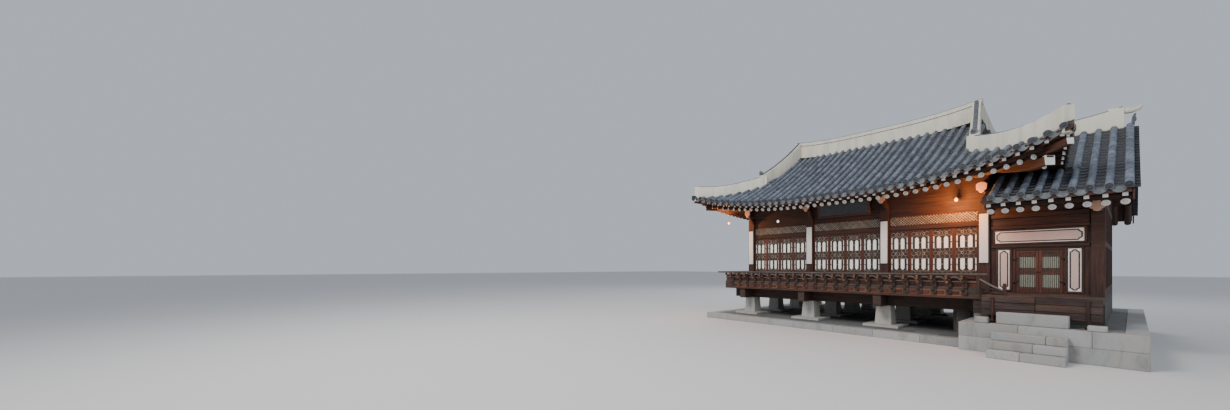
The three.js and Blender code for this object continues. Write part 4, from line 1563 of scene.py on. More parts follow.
for end in (0, 1):
    for back in (0, 1):
        rings = []
        for i in range(12):
            inward = 2.25 + (HALF_SPAN - 2.27) * i / 11
            x = 0.14 + 0.42 * min(1.0, max(0.0, (inward - GABLE_START) / GABLE_RUN)) + 0.05
            y = inward - EAVE_OUT
            z = slope_top(inward, from_side(x), LENGTH * end) - 0.06
            low = z - 0.34 if i else z - 0.1
            ring = [(x, y, low), (x + BOARD_THICK, y, low), (x + BOARD_THICK, y, z), (x, y, z)]
            rings.append([(LENGTH - px if end else px, on_half(py, back), pz) for px, py, pz in ring])
        stock.sweep(rings, 3)
make("verges", stock, (*TILES, red_timber))

# %% [markdown]
# ## Paper doors with a tortoise-shell lattice
# Each folding leaf is a frame with paper behind thin bars. The bars draw bands of hexagons, like a tortoise's
# shell, with two rows of tall panes between them. The frame's solids already have the frames and the
# recesses, so only paper and bars are added. Each wall is drawn flat, in its own directions, so one leaf
# serves for three walls.

# %% A wall's own directions
WEB = 0.0085
PAPER_THICK = 0.002
BAR_DEPTH = 0.015
BAR = 0.016


class Face:
    """A wall's own directions: right along it, up, and out towards the viewer."""

    def __init__(self, origin, right, out):
        self.origin, self.right, self.out = Vector(origin), Vector(right), Vector(out)

    def at(self, along, up, out=0.0):
        return self.origin + self.right * along + UP * up + self.out * out

    def bar(self, stock, a, b, width=BAR, depth=BAR_DEPTH, out=0.0, finish=0):
        start, end = self.at(*a, WEB + PAPER_THICK + out), self.at(*b, WEB + PAPER_THICK + out)
        stock.bar(start, end, width, depth, self.out, finish)

    def board(self, stock, x0, x1, z0, z1, near, far, ease=0.004, finish=0, along=0):
        """A board on the wall between two distances out from it, with its grain along the wall or upright."""
        low, high = self.at(x0, z0, near), self.at(x1, z1, far)
        corners = [Vector(map(min, low, high)), Vector(map(max, low, high))]
        axis = 2 if along == 2 else (0 if abs(self.right.x) > 0.5 else 1)
        stock.block(corners[0], corners[1], axis, ease, finish)


print("lattice bars are", BAR, "m wide")

# %% The tortoise-shell bands
CELL = 0.125
PANE_PLACE = 0.094
RING_SIDES = 8


def clipped(a, b, x0, x1, z0, z1):
    """The part of a bar's line that lies inside a rectangle, or nothing."""
    first, last = 0.0, 1.0
    for here, there, low, high in ((a[0], b[0], x0, x1), (a[1], b[1], z0, z1)):
        run = there - here
        if abs(run) < 1e-9:
            if not low - 1e-9 <= here <= high + 1e-9:
                return None
            continue
        near, far = sorted(((low - here) / run, (high - here) / run))
        first, last = max(first, near), min(last, far)
    if last - first < 0.15:
        return None
    return [(a[0] + (b[0] - a[0]) * t, a[1] + (b[1] - a[1]) * t) for t in (first, last)]


def tortoise_shell(stock, face, x0, x1, z0, z1, centre, ringed=True):
    """A net of hexagons cut to a band, over a dark board, with small rings under the panes' middles."""
    face.board(stock, x0, x1, z0, z1, WEB + PAPER_THICK, WEB + 0.005, 0.001, 3)
    middle = (x0 + x1) / 2
    upright, slant = CELL * 0.52, CELL * 0.34
    bars = []
    for row in range(-3, 4):
        z = centre + row * (upright + slant)
        shift = CELL / 2 if row % 2 else 0.0
        for k in range(-4, 5):
            x = middle + k * CELL + shift
            top = (x, z + upright / 2)
            bars.append(((x, z - upright / 2), top))
            bars.append((top, (x - CELL / 2, z + upright / 2 + slant)))
            bars.append((top, (x + CELL / 2, z + upright / 2 + slant)))
    for a, b in bars:
        kept = clipped(a, b, x0, x1, z0, z1)
        if kept:
            face.bar(stock, *kept, 0.015, 0.012, 0.003, 5)
    for way in (-1, 1) if ringed else ():
        x = middle + way * PANE_PLACE
        turns = [math.tau * i / RING_SIDES for i in range(RING_SIDES)]
        points = [(x + 0.03 * math.cos(t), centre + 0.036 * math.sin(t)) for t in turns]
        for i in range(RING_SIDES):
            face.bar(stock, points[i], points[(i + 1) % RING_SIDES], 0.016, 0.01, 0.008, 4)


print("hexagons are", CELL, "m wide")

# %% The panes
PANE_HALF = 0.064
PANE_GAP = 0.05


def panes(stock, face, x0, x1, z0, z1, pointed_up):
    """Two whole panes, each pointed at one end, and a half pane at each side, all set in dark board."""
    middle = (x0 + x1) / 2
    tip = 0.06 if pointed_up else -0.06
    point, flat = (z1, z0) if pointed_up else (z0, z1)
    shoulder = point - tip
    half_way = (z0 + z1) / 2
    for way in (-1, 1):
        centre = middle + way * PANE_PLACE
        inner, outer = centre - way * PANE_HALF, centre + way * PANE_HALF
        edge = x0 if way < 0 else x1
        side = outer + way * PANE_GAP
        for a, b in ((middle, inner), (outer, side)):
            low, high = sorted((a, b))
            face.board(stock, low, high, z0, z1, WEB, WEB + 0.007, 0.001, 0)
        for x in (inner, outer):
            corner = [(x, shoulder), (x, point), (centre, point)]
            origin = face.at(0, 0, WEB + 0.008)
            outline = corner if (x > centre) == pointed_up else corner[::-1]
            stock.cut(outline, origin, face.right, UP, 0.006, 0.0005, 0)
            face.bar(stock, (x, flat), (x, shoulder), 0.013)
            face.bar(stock, (x, shoulder), (centre, point), 0.013)
        face.bar(stock, (inner, flat), (outer, flat), 0.014)
        face.bar(stock, (side, z0), (side, z1), 0.013)
        face.bar(stock, (side, half_way), (edge, half_way), 0.024)
    a, b = (middle - PANE_GAP / 2, half_way), (middle + PANE_GAP / 2, half_way)
    face.bar(stock, a, b, 0.03, 0.016, 0.004, 5)


print("a pane is", 2 * PANE_HALF, "m wide")

# %% One folding leaf
LATTICE_LOW, LATTICE_HIGH = 2.15, 3.58
PANEL_LOW, PANEL_HIGH = 1.7, 2.08
STILE = 0.045
BANDS = ((3.385, 3.58, 3.475), (2.645, 2.97, 2.8075), (2.15, 2.24, 2.15))
PANE_ROWS = ((2.97, 3.385, True), (2.24, 2.645, False))


def leaf(stock, face, x0, x1):
    """Paper and bars of one folding leaf, and its raised bottom panel."""
    left, right = x0 + STILE, x1 - STILE
    face.board(stock, left, right, LATTICE_LOW, LATTICE_HIGH, WEB, WEB + PAPER_THICK, 0.0005, 1)
    for z in (LATTICE_LOW + 0.004, LATTICE_HIGH - 0.004):
        face.bar(stock, (left, z), (right, z), 0.018)
    for low, high, centre in BANDS:
        tortoise_shell(stock, face, left, right, low, high, centre, centre > 2.2)
        for z in (low, high):
            face.bar(stock, (left, z), (right, z), 0.013, 0.013, 0.002, 5)
    for low, high, pointed_up in PANE_ROWS:
        panes(stock, face, left, right, low, high, pointed_up)
    face.board(stock, left + 0.03, right - 0.03, PANEL_LOW + 0.03, PANEL_HIGH - 0.03, WEB, 0.022, 0.008, 2)
    for a, b in ((x0 + 0.002, left + 0.011), (right - 0.011, x1 - 0.002)):
        face.board(stock, a, b, 2.1, 3.615, 0.0275, 0.0315, 0.0015, 2, 2)
    for x in (x0, x1):
        face.board(stock, x - 0.002, x + 0.002, 1.61, 3.63, 0.028, 0.0305, 0.001, 3, 2)


print("a leaf has", len(BANDS), "bands and", len(PANE_ROWS), "rows of panes")

# %% [markdown]
# ## Transoms
# A low light over each lintel has a fine diagonal lattice on dark boarding. Slanted bars that cross its frame
# could be cut by a boolean, but it is simpler to work out where each one meets the frame and stop it there.

# %% Transoms
TRANSOM_LOW, TRANSOM_HIGH = 3.775, 4.115
TRANSOM_RAIL = 0.028
DIAGONAL_STEP = 0.085


def transom(stock, face, x0, x1):
    """A dark board and a fine diagonal lattice over a lintel, in their own frame."""
    low, high = TRANSOM_LOW, TRANSOM_HIGH
    face.board(stock, x0, x1, low, high, WEB, WEB + PAPER_THICK, 0.0005, 3)
    for z in (low + 0.012, high - 0.012):
        face.board(stock, x0, x1, z - 0.014, z + 0.014, WEB, 0.034, 0.003, 2)
    for x in (x0 + 0.014, x1 - 0.014):
        face.board(stock, x - 0.014, x + 0.014, low, high, WEB, 0.034, 0.003, 2, 2)
    tall = high - low - 0.05
    low += 0.025
    for i in range(int((x1 - x0 + tall) / DIAGONAL_STEP)):
        foot = x0 - tall + i * DIAGONAL_STEP + 0.03
        for lean in (1, -1):
            a, b = (foot, low), (foot + tall, low + tall)
            if a[0] < x0 + TRANSOM_RAIL:
                a = (x0 + TRANSOM_RAIL, low + x0 + TRANSOM_RAIL - foot)
            if b[0] > x1 - TRANSOM_RAIL:
                b = (x1 - TRANSOM_RAIL, low + x1 - TRANSOM_RAIL - foot)
            if b[0] - a[0] < 0.01:
                continue
            if lean < 0:
                a, b = (a[0], 2 * low + tall - a[1]), (b[0], 2 * low + tall - b[1])
            face.bar(stock, a, b, 0.021, 0.012, 0.0 if lean > 0 else 0.005, 4)


print("transoms are", round(TRANSOM_HIGH - TRANSOM_LOW, 3), "m high")

# %% Three sides of lattice doors
FACES = {
    "front": (Face((0, 0, 0), (1, 0, 0), (0, -1, 0)), BAY, 4),
    "back": (Face((LENGTH, DEPTH, 0), (-1, 0, 0), (0, 1, 0)), BAY, 4),
    "left": (Face((0, DEPTH, 0), (0, -1, 0), (-1, 0, 0)), SIDE_BAY, 3),
}
COLUMN = 0.27
LATTICE_FINISHES = (lattice_timber, door_paper, leaf_timber, under_timber, tan_lattice, band_lattice)
for side, (face, bay, leaves) in FACES.items():
    for i in range(3):
        stock = Stock()
        start, end = i * bay + COLUMN / 2, (i + 1) * bay - COLUMN / 2
        width = (end - start) / leaves
        for k in range(leaves):
            leaf(stock, face, start + k * width, start + (k + 1) * width)
        transom(stock, face, start, end)
        make(f"{side}_lattice_{i + 1}", stock, LATTICE_FINISHES)

# %% [markdown]
# ## Columns, boards and beam heads
# Long white boards hang on the front columns, each from an iron pin; here they are bare. The beams that cross
# the house show their lobed ends under the eave, painted in a warm tint, over a carved bracket.

# %% Column boards
stock = Stock()
for i in range(4):
    x = i * BAY
    stock.block((x - 0.105, -0.163, 2.48), (x + 0.105, -0.139, 3.98), 2, 0.004, 0)
    stock.block((x - 0.012, -0.16, 3.985), (x + 0.012, -0.136, 4.02), 2, 0.003, 1)
    stock.block((x - 0.012, -0.16, 2.44), (x + 0.012, -0.136, 2.475), 2, 0.003, 1)
make("column_boards", stock, (board_white, old_iron))

# %% Brackets and beam heads
LOBES = (
    (-0.095, 0.0), (-0.1, 0.1), (-0.055, 0.155), (0.0, 0.165), (0.055, 0.155), (0.1, 0.1), (0.095, 0.0),
    (0.09, -0.055), (0.05, -0.085), (0.045, -0.13), (0.0, -0.155), (-0.045, -0.13), (-0.05, -0.085),
    (-0.09, -0.055),
)
BRACKET = (
    (0, 4.6), (0, 4.3), (0.05, 4.33), (0.09, 4.4), (0.15, 4.41), (0.2, 4.46), (0.24, 4.52), (0.31, 4.545),
    (0.33, 4.6),
)


def beam_head(stock, head, front, broad, tall):
    """A lobed plate on the end of a beam that comes out of a wall."""
    stock.cut([(a * broad, b * tall) for a, b in LOBES], head, (-front, 0, 0), UP, 0.03, 0.008, 1)


stock = Stock()
for front, wall in ((-1, 0.0), (1, DEPTH)):
    for i in range(4):
        outline = [(0.12 + a, z) for a, z in BRACKET]
        stock.cut(outline, (i * BAY - front * 0.045, wall, 0), (0, front, 0), UP, 0.09, 0.006, 0)
        beam_head(stock, (i * BAY, wall + front * 0.452, 4.755), front, 1.3, 1.05)
beam_head(stock, (10.38, -0.512, 3.935), -1, 1.45, 0.9)
make("beam_heads", stock, (red_timber, peach_paint))

# %% [markdown]
# ## The name board
# It hangs over the middle bay and leans forward, to be seen from below. The board is black lacquer in a red
# frame whose members run out past the corners. It is bare too.

# %% Name board
FOOT, CROWN = Vector((LENGTH / 2, -0.205, 4.285)), Vector((LENGTH / 2, -0.355, 4.843))
LEAN = unit(CROWN - FOOT)
OUT = unit(Vector((1, 0, 0)).cross(LEAN))
stock = Stock()


def on_board(x, up, depth):
    return FOOT + Vector((x, 0, 0)) + LEAN * up + OUT * depth


def leaning(stock, x0, x1, low, high, near, far, finish, ease=0.006):
    rings = []
    for x, inset in ((x0, ease), (x0 + ease, 0), (x1 - ease, 0), (x1, ease)):
        foot, top = low + inset, high - inset
        section = ((foot, near), (top, near), (top, far - ease), (top - ease, far))
        section += ((foot + ease, far), (foot, far - ease))
        rings.append([on_board(x, a, b) for a, b in section])
    stock.sweep(rings, finish)


tall = (CROWN - FOOT).length
leaning(stock, -0.9, 0.9, 0.05, tall - 0.05, -0.012, 0.012, 0)
leaning(stock, -0.95, 0.95, 0.0, 0.065, -0.022, 0.028, 1)
leaning(stock, -0.95, 0.95, tall - 0.065, tall, -0.022, 0.028, 1)
for x0, x1 in ((-0.945, -0.875), (0.875, 0.945)):
    leaning(stock, x0, x1, 0.0, tall, -0.022, 0.024, 1)
leaning(stock, -0.875, 0.875, 0.065, 0.08, -0.012, 0.016, 2, 0.003)
leaning(stock, -0.875, 0.875, tall - 0.08, tall - 0.065, -0.012, 0.016, 2, 0.003)
for x in (-0.6, 0.6):
    stock.block((LENGTH / 2 + x - 0.02, -0.27, 4.56), (LENGTH / 2 + x + 0.02, -0.121, 4.62), 1, 0.004, 3)
finishes = (black_lacquer, leaf_timber, ink_line, old_iron)
make("name_board_dressed", stock, finishes, instead_of=["name_board"])

# %% [markdown]
# ## The flared railing
# The veranda's railing leans out on S-shaped brackets. Between them lie carved panels under a row of arches,
# and a small lotus on each bracket carries the handrail. A bracket's outline is drawn once, from the side,
# and sawn out as often as needed; a run of railing is laid along any wall with the same directions as before.

# %% Sawn brackets and arches
S_CURVE = [
    (0.052, 1.47), (0.085, 1.5), (0.1, 1.56), (0.088, 1.62), (0.07, 1.66), (0.082, 1.7), (0.105, 1.72),
    (0.108, 1.77), (0.098, 1.8), (0.112, 1.86), (0.14, 1.9), (0.15, 1.95), (0.2, 2.01), (0.252, 2.055),
    (0.205, 2.06), (0.15, 2.02), (0.1, 1.97), (0.072, 1.9), (0.055, 1.82), (0.052, 1.72), (0.052, 1.6),
]
ARCH_STEPS = 10


def upright_outline(stock, face, outline, along, thick, finish=0, ease=0.006):
    """Saws an outline drawn in (out, up) and sets it across the wall, centred on a place along it."""
    origin = face.origin + face.right * (along + thick / 2)
    stock.cut(outline, origin, face.out, UP, thick, ease, finish)


def arch(stock, face, x0, x1, low, high, out, finish):
    """A low carved arch between two brackets."""
    rings = []
    for k in range(ARCH_STEPS + 1):
        share = k / ARCH_STEPS
        x = x0 + (x1 - x0) * share
        curve = math.sin(math.pi * share) ** 0.7
        z = low + (high - low) * curve
        lean = out + (z - low) * 0.45
        section = ((z - 0.045, lean), (z - 0.045, lean + 0.024), (z, lean + 0.034), (z, lean + 0.004))
        rings.append([face.at(x, up, away) for up, away in section])
    stock.sweep(rings, finish)


print("a bracket is sawn along", len(S_CURVE), "points")

# %% A run of railing
RAIL_TOP = 2.16
RAIL_RADIUS = 0.034
RAIL_OUT = 0.23
BRACKET_STEP = 0.375
RAIL_STEPS = 24


def bracket_places(length, first):
    """Places of the brackets, evenly apart and centred on the run."""
    count = int(length / BRACKET_STEP)
    start = first + (length - (count - 1) * BRACKET_STEP) / 2
    return [start + i * BRACKET_STEP for i in range(count)]


def railing(stock, face, length, first, last, rails):
    """face lies on the skirt's outer plane. rails gives the handrail's two ends along the wall."""
    face.board(stock, first, last, 1.7, 1.732, 0.0, 0.055, 0.006, 5)
    face.board(stock, first, last, 1.732, 1.985, 0.0, 0.018, 0.004, 0)
    face.board(stock, first, last, 1.88, 1.92, 0.012, 0.062, 0.008, 5)
    face.board(stock, first, last, 1.975, 2.012, 0.0, 0.04, 0.008, 1)
    places = bracket_places(length, first)
    for i, x in enumerate(places):
        upright_outline(stock, face, S_CURVE, x, 0.072, 2)
        lotus = [face.at(x, z, RAIL_OUT) for z in (1.96, 1.98, 2.0, 2.02, 2.045, 2.065, 2.1)]
        stock.tube(lotus, [0.02, 0.038, 0.032, 0.022, 0.036, 0.04, 0.02], 10, 3)
        knob = [face.at(x, 1.875, out) for out in (0.115, 0.13, 0.165, 0.18)]
        stock.tube(knob, [0.026, 0.04, 0.036, 0.018], 10, 3 if i % 2 else 2)
        foot = [face.at(x, 1.655, out) for out in (0.075, 0.09, 0.115, 0.128)]
        stock.tube(foot, [0.034, 0.044, 0.04, 0.02], 10, 2)
        if x != places[-1]:
            a, b = x + 0.03, x + BRACKET_STEP - 0.03
            arch(stock, face, a, b, 1.945, 2.078, 0.12, 5)
            face.board(stock, a + 0.03, b - 0.03, 1.765, 1.835, 0.016, 0.03, 0.01, 4)
            face.board(stock, a + 0.075, b - 0.075, 1.782, 1.818, 0.028, 0.04, 0.014, 2)
    stretch = [rails[0] + (rails[1] - rails[0]) * k / RAIL_STEPS for k in range(RAIL_STEPS + 1)]
    path = [face.at(x, RAIL_TOP - RAIL_RADIUS, RAIL_OUT) for x in stretch]
    radii = [RAIL_RADIUS * (1 + 0.03 * math.sin(k * 2.1)) for k in range(RAIL_STEPS + 1)]
    stock.tube(path, radii, 12, 5)


print("brackets stand", BRACKET_STEP, "m apart")

# %% Three sides of railing
# The lotuses and every other knob take the darker copy of the peach paint, which is painted shade.
RAIL_FINISHES = (leaf_timber, red_timber, lattice_timber, shaded_peach_paint, under_timber, grey_rail)
RAILS = {
    "front": (Face((0, -0.82, 0), (1, 0, 0), (0, -1, 0)), 8.95, -0.85, 8.1, (-1.15, 8.33)),
    "left": (Face((-0.82, 0, 0), (0, -1, 0), (-1, 0, 0)), 7.64, -6.82, 0.82, (-7.01, 1.01)),
    "back": (Face((0, 6.82, 0), (-1, 0, 0), (0, 1, 0)), 8.95, -8.1, 0.85, (-8.1, 1.15)),
}
SLANT_LINE = -1.05
for side, (face, length, first, last, rails) in RAILS.items():
    stock = Stock()
    railing(stock, face, length, first, last, rails)
    if side == "front":
        for drop, radius, finish in ((0.0, 0.027, 5), (0.11, 0.02, 1), (0.21, 0.02, 1)):
            slant = [(8.1, 2.03 - drop), (8.22, 1.955 - drop), (8.45, 1.795 - drop)]
            slant.append((8.7, 1.665 - drop * 0.4))
            stock.tube([(x, SLANT_LINE, z) for x, z in slant], [radius] * 4, 10, finish)
        for x, top in ((8.13, 2.1), (8.7, 1.84)):
            stock.block((x - 0.038, -1.088, 1.55), (x + 0.038, -1.012, top), 2, 0.006, 1)
            knob = [(x, SLANT_LINE, top + z) for z in (-0.01, 0.01, 0.03, 0.05)]
            stock.tube(knob, [0.03, 0.044, 0.038, 0.012], 12, 1)
    make(f"railing_{side}_dressed", stock, RAIL_FINISHES, instead_of=[f"railing_{side}"])

# %% [markdown]
# ## Skirt boards
# A deep board closes the veranda's edge under the railing. It is made of pieces as long as a cart could
# carry, with sunk carved fields between the brackets, so the boards are laid over the frame's skirt in the
# same plane.

# %% Skirt
stock = Stock()
for face, length, first, last, rails in RAILS.values():
    outer = Face(face.origin + face.out * 0.0505, face.right, face.out)
    for x in bracket_places(length, first)[:-1]:
        outer.board(stock, x + 0.035, x + BRACKET_STEP - 0.035, 1.455, 1.655, -0.002, 0.01, 0.006, 0)
        outer.board(stock, x + 0.085, x + BRACKET_STEP - 0.085, 1.505, 1.605, 0.008, 0.016, 0.008, 1)
    outer.board(stock, first - 0.02, last, 1.392, 1.428, -0.002, 0.014, 0.005, 1)
make("skirt_panels", stock, (skirt_timber, leaf_timber))

# %% [markdown]
# ## Stonework
# Both platforms are faced with long granite blocks. A block is a squared stone with eased edges, set a hair's
# breadth from the next, so the joints are real gaps with shade in them. Lengths vary a little, as quarried.

# %% Courses of stone
JOINT = 0.004


def course(stock, face, first, last, low, high, thick, length):
    """One course of blocks along a wall's foot, its outer faces in the wall's plane."""
    here = first
    while here < last - 0.01:
        size = length * DICE.uniform(0.78, 1.22)
        end = last if last - here - size < length * 0.4 else here + size
        a, b, foot, top = here + JOINT / 2, end - JOINT / 2, low + JOINT / 2, high - JOINT / 2
        face.board(stock, a, b, foot, top, -thick, 0.0, 0.007)
        here = end


print("stones lie", JOINT, "m apart")


# %% Paving
def paving(stock, x0, x1, y0, y1, low, high, across, length):
    """Slabs laid in rows along X."""
    rows = max(1, round((y1 - y0) / across))
    for r in range(rows):
        a, b = y0 + (y1 - y0) * r / rows, y0 + (y1 - y0) * (r + 1) / rows
        here = x0 - DICE.uniform(0, length * 0.5)
        while here < x1:
            size = length * DICE.uniform(0.75, 1.25)
            start, end = max(x0, here), min(x1, here + size)
            if x1 - end < length * 0.3:
                end = x1
            sink = DICE.uniform(0, 0.004)
            if end - start > 0.05:
                foot, top = (start + 0.003, a + 0.003, low), (end - 0.003, b - 0.003, high - sink)
                stock.block(foot, top, 0, 0.004, 1)
            if end == x1:
                break
            here += size


def outline_faces(x0, x1, y0, y1):
    """The four upright sides of a block of masonry, each with its length."""
    return [
        (Face((x0, y0, 0), (1, 0, 0), (0, -1, 0)), x1 - x0),
        (Face((x1, y0, 0), (0, 1, 0), (1, 0, 0)), y1 - y0),
        (Face((x1, y1, 0), (-1, 0, 0), (0, 1, 0)), x1 - x0),
        (Face((x0, y1, 0), (0, -1, 0), (-1, 0, 0)), y1 - y0),
    ]


print("paving ready")

# %% The hall's platform
# The second stone, for the paving, is the darkened granite: painted shade under the floors.
STONES = (pale_granite, shaded_paving_granite)
KERB = 0.34
stock = Stock()
x0, x1, y0, y1 = -1.48, 7.83, -1.48, 7.48
for index, (face, length) in enumerate(outline_faces(x0, x1, y0, y1)):
    if index == 1:
        continue
    inset = KERB if index == 3 else 0
    course(stock, face, inset, length - inset, 0.0, 0.24, KERB, 1.25)
paving(stock, x0 + KERB, x1, y0 + KERB, y1 - KERB, 0.0, 0.236, 0.62, 0.95)
make("platform_stones", stock, STONES, instead_of=["pavilion_platform"])

# %% [markdown]
# ## A round prop
# A short thick log behind the wing's base props the first cross beam. It was trimmed by hand, and a cylinder
# would look turned, so its radius changes along its height.

# %% Round prop
PROP = ((0.236, 0.258), (0.256, 0.27), (0.6, 0.277), (0.945, 0.272), (0.979, 0.262))
stock = Stock()
stock.tube([(7.545, 0.3, z) for z, radius in PROP], [radius for z, radius in PROP], 28, 0)
# The prop wears the pale grey finish of the rails, lighter than the timber around it: painted light, since it
# stands in shade behind the wing's base.
make("round_prop", stock, (grey_rail,))

# %% [markdown]
# ## The wing's base, steps and step stone
# The wing stands on a higher base of two courses, with flat pads under its sill. Three steps lead up to it,
# and a long stone before the doors makes the last one. The steps' joints shift from course to course, as a
# mason sets them.

# %% The wing's base
COLUMN_LINES = (0.0, 2.0, 4.0, 6.0)
BASE_KERB = 0.36
stock = Stock()
x0, x1, y0, y1 = 7.83, 11.2, -1.8, 7.8
for index, (face, length) in enumerate(outline_faces(x0, x1, y0, y1)):
    inset = BASE_KERB if index in (1, 3) else 0
    course(stock, face, inset, length - inset, 0.0, 0.4, BASE_KERB, 1.35)
    course(stock, face, inset, length - inset, 0.4, 0.79, BASE_KERB, 1.1)
paving(stock, x0 + BASE_KERB, x1 - BASE_KERB, y0 + BASE_KERB, y1 - BASE_KERB, 0.0, 0.786, 0.6, 0.9)
for y in COLUMN_LINES:
    stock.block((7.875, y - 0.225, 0.79), (MEET, y + 0.225, 0.98), 0, 0.012, 0)
for y in COLUMN_LINES:
    stock.tube([(8.05, y, z) for z in (0.98, 0.985, 0.99)], [0.05, 0.05, 0.04], 8, 0)
make("wing_base_stones", stock, STONES, instead_of=["wing_base"])

# %% Steps and step stone
STEP_RISE, STEP_TREAD, STEP_LEFT, STEP_RIGHT = 0.2, 0.3, 8.575, 9.975
stock = Stock()
for i in range(3):
    front = -2.7 + i * STEP_TREAD
    split = STEP_LEFT + 0.62 + 0.2 * i
    low, high = i * STEP_RISE, (i + 1) * STEP_RISE
    for a, b in ((STEP_LEFT, split), (split, STEP_RIGHT)):
        stock.block((a + 0.002, front, low + 0.002), (b - 0.002, -1.803, high - 0.002), 0, 0.01, 0)
make("entry_steps_dressed", stock, STONES, instead_of=["entry_steps"])

stock = Stock()
stock.block((8.595, -1.56, 0.79), (9.955, -1.26, 1.1), 0, 0.014, 0)
for x0, x1, top in ((8.16, 8.44, 0.95), (10.26, 10.58, 0.92)):
    stock.block((x0, -1.7, 0.79), (x1, -1.44, top), 0, 0.014, 0)
make("step_stone_dressed", stock, STONES, instead_of=["step_stone"])

# %% [markdown]
# ## The porch
# Three weathered boards close the porch's front. They once had colour on them, and bluish traces stay in the
# grain. Two thin round posts on bulbous feet stand before them.

# %% Porch front
POST_LINE = -1.27
POST = (
    ((0.79, 0.81, 0.84, 0.87, 0.9), (0.06, 0.07, 0.068, 0.05, 0.036), 16),
    ((0.88, 1.2, 1.48), (0.032, 0.03, 0.03), 12),
    ((1.47, 1.475, 1.49), (0.04, 0.042, 0.034), 12),
)
stock = Stock()
for low, high, proud in ((0.992, 1.165, 0.0), (1.172, 1.352, 0.006), (1.36, 1.548, 0.0)):
    for a, b in ((MEET, 9.32), (9.325, 10.5)):
        stock.block((a, -1.244 - proud, low), (b, -1.205, high), 0, 0.008, 0)
for x in (8.475, 10.26):
    for heights, radii, sides in POST:
        stock.tube([(x, POST_LINE, z) for z in heights], radii, sides, 1)
make("porch_boards", stock, (worn_board, red_timber), instead_of=["porch_skirt"])

# %% [markdown]
# ## Plaster panels in the wing's front
# Beside and over the doors, white panels fill the timber frame. Each has a black line near its edge whose
# corners step inwards. The line is a thin raised moulding here, so it shows from any side.

# %% A plaster panel
PANEL_LINE_IN = 0.042
PANEL_EDGE = 0.05


def notched(x0, x1, z0, z1, cut):
    """A rectangle whose corners step inwards."""
    near, far = cut * 0.55, cut * 1.15
    return [
        (x0 + cut, z0), (x1 - cut, z0), (x1 - cut, z0 + near), (x1, z0 + far), (x1, z1 - far),
        (x1 - cut, z1 - near), (x1 - cut, z1), (x0 + cut, z1), (x0 + cut, z1 - near), (x0, z1 - far),
        (x0, z0 + far), (x0 + cut, z0 + near),
    ]


def plaster_panel(stock, face, x0, x1, z0, z1, cut):
    face.board(stock, x0, x1, z0, z1, -0.004, 0.014, 0.004, 0)
    inset, field = PANEL_LINE_IN, PANEL_LINE_IN + 0.014
    line = notched(x0 + inset, x1 - inset, z0 + inset, z1 - inset, cut)
    for a, b in zip(line, line[1:] + line[:1]):
        stock.bar(face.at(*a, 0.0135), face.at(*b, 0.0135), 0.03, 0.005, face.out, 1)
    outline = notched(x0 + field, x1 - field, z0 + field, z1 - field, cut * 0.85)
    stock.cut(outline, face.at(0, 0, 0.0165), face.right, UP, 0.004, 0.002, 3)
    for low, high in ((z0 - PANEL_EDGE, z0), (z1, z1 + PANEL_EDGE)):
        face.board(stock, x0 - PANEL_EDGE, x1 + PANEL_EDGE, low, high, -0.004, 0.03, 0.006, 2)
    for a, b in ((x0 - PANEL_EDGE, x0), (x1, x1 + PANEL_EDGE)):
        face.board(stock, a, b, z0, z1, -0.004, 0.028, 0.006, 2, 2)


print("a panel's line lies", PANEL_LINE_IN, "m in from its edge")

# %% Wing panels
WING_FACE = Face((0, -0.06, 0), (1, 0, 0), (0, -1, 0))
PANEL_FINISHES = (wall_plaster, ink_line, red_timber, field_plaster)
stock = Stock()
plaster_panel(stock, WING_FACE, 8.35, 10.14, 3.06, 3.42, 0.06)
plaster_panel(stock, WING_FACE, 8.42, 8.67, 1.68, 2.86, 0.05)
plaster_panel(stock, WING_FACE, 9.84, 10.09, 1.68, 2.86, 0.05)
for low, high, proud in ((2.92, 3.0, 0.045), (3.48, 3.56, 0.045), (3.56, 3.8, 0.02), (3.8, 3.92, 0.05)):
    WING_FACE.board(stock, MEET + 0.02, 10.24, low, high, -0.004, proud, 0.008, 2)
for a, b in ((8.745, 8.798), (9.752, 9.805)):
    WING_FACE.board(stock, a, b, 1.6, 2.9, -0.004, 0.01, 0.003, 2, 2)
make("wing_panels", stock, PANEL_FINISHES)

# %% [markdown]
# ## The hinged pair of doors
# These two leaves open over the porch. Each is a frame with upright slats over its whole height, crossed by
# tight groups of level slats at the top, middle and bottom, which is the common lattice of hanok rooms. The
# leaf keeps the frame's own thickness, and half of each hinge turns with it.

# %% Door leaves
LEAF_LOW, LEAF_HIGH = 1.605, 2.825
LEAF_BACK, LEAF_FRONT = -0.025, -0.06
LEAF_STILE = 0.066
PAPER_PLANE = -0.0405
SLATS = 9
SLAT_STEP = 0.022
HINGE_LINE = -0.074
HINGES = (2.53, 1.85)
PULL_RADIUS = 0.019


